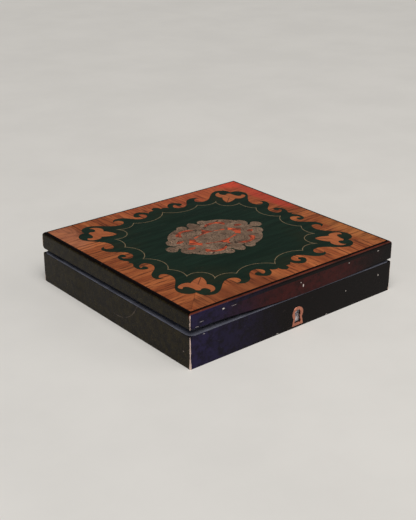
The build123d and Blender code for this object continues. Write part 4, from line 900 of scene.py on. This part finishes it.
class MUSICBOX_OT_stage(bpy.types.Operator):
    """Make the floor, lamps and camera"""

    bl_idname = "musicbox.stage"
    bl_label = "Stage"

    def execute(self, context):
        s = context.scene.musicbox_stage
        scene = context.scene
        self.floor(s)
        world = bpy.data.worlds.new("soft_room")
        world.use_nodes = True
        world.node_tree.nodes["Background"].inputs[0].default_value = (0.86, 0.90, 0.92, 1)
        world.node_tree.nodes["Background"].inputs[1].default_value = s.room
        scene.world = world
        scene.view_settings.view_transform = "Standard"
        size = (CAD_HIGH - CAD_LOW).x
        sun = bpy.data.objects.new("overhead", bpy.data.lights.new("overhead", "SUN"))
        sun.data.energy = s.sun
        sun.data.angle = np.radians(50)
        sun.data.color = (1.0, 0.97, 0.93)
        sun.rotation_euler = (np.radians(22), np.radians(-14), 0)
        scene.collection.objects.link(sun)
        self.lamp("front", s.key_power, size * 3.0, (size * 2.4, -size * 3.2, size * 2.4), (1.0, 0.95, 0.90))
        self.lamp("left", s.rim_power, size * 2.0, (-size * 3.6, -size * 0.6, size * 2.2), (0.86, 0.92, 1.0))
        camera = bpy.data.objects.new("camera", bpy.data.cameras.new("camera"))
        scene.collection.objects.link(camera)
        camera.data.lens = s.lens
        camera.data.sensor_width = 36.0
        camera.data.clip_start = 0.01
        back = Vector(
            (
                -np.sin(s.azimuth) * np.cos(s.elevation),
                -np.cos(s.azimuth) * np.cos(s.elevation),
                np.sin(s.elevation),
            )
        )
        camera.location = Vector(s.aim) * size + back * (s.distance * size)
        camera.rotation_euler = (-back).to_track_quat("-Z", "Y").to_euler()
        scene.camera = camera
        return {"FINISHED"}

    def floor(self, s):
        """A pale floor sheet with a faint unevenness."""
        reach = FLOOR_REACH
        mesh = bpy.data.meshes.new("floor")
        corners = [(-reach, -reach, 0), (reach, -reach, 0), (reach, reach, 0), (-reach, reach, 0)]
        mesh.from_pydata(corners, [], [(0, 1, 2, 3)])
        floor = bpy.data.objects.new("floor", mesh)
        bpy.context.scene.collection.objects.link(floor)
        f = Finish("pale_floor", roughness=0.5)
        cloud = f.noise(6.0, 4.0, 0.6)
        base = f.mix(f.step(cloud, 0.3, 0.7), s.floor, [v * 0.95 for v in s.floor])
        floor.data.materials.append(f.finish(base))

    def lamp(self, name, power, size, place, tint):
        """A square area lamp aimed at the box."""
        light = bpy.data.lights.new(name, "AREA")
        light.energy = power
        light.size = size
        light.color = tint
        lamp = bpy.data.objects.new(name, light)
        bpy.context.scene.collection.objects.link(lamp)
        lamp.location = place
        lamp.rotation_euler = Vector(place).to_track_quat("Z", "Y").to_euler()


class MUSICBOX_PT_panel(bpy.types.Panel):
    """Sidebar panel that lists the operators"""

    bl_idname = "MUSICBOX_PT_panel"
    bl_label = "Music Box"
    bl_space_type = "VIEW_3D"
    bl_region_type = "UI"
    bl_category = "Music Box"

    def draw(self, context):
        for operator in OPERATORS:
            self.layout.operator(operator.bl_idname)


GROUPS = {
    "musicbox_case": CaseColours,
    "musicbox_veneer": VeneerColours,
    "musicbox_cushion": CushionSizes,
    "musicbox_stage": StageSettings,
}
OPERATORS = [
    MUSICBOX_OT_case,
    MUSICBOX_OT_marquetry,
    MUSICBOX_OT_fittings,
    MUSICBOX_OT_movement,
    MUSICBOX_OT_escutcheon,
    MUSICBOX_OT_cushion,
    MUSICBOX_OT_stage,
]


def register():
    """Register every class and hang the property groups on the scene."""
    for kind in [*GROUPS.values(), *OPERATORS, MUSICBOX_PT_panel]:
        bpy.utils.register_class(kind)
    for name, group in GROUPS.items():
        setattr(bpy.types.Scene, name, PointerProperty(type=group))


def unregister():
    """Take the property groups and classes away again."""
    for name in GROUPS:
        delattr(bpy.types.Scene, name)
    for kind in reversed([*GROUPS.values(), *OPERATORS, MUSICBOX_PT_panel]):
        bpy.utils.unregister_class(kind)


def main():
    """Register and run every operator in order."""
    register()
    for operator in OPERATORS:
        group, call = operator.bl_idname.split(".")
        getattr(getattr(bpy.ops, group), call)()


if __name__ == "__main__":
    main()
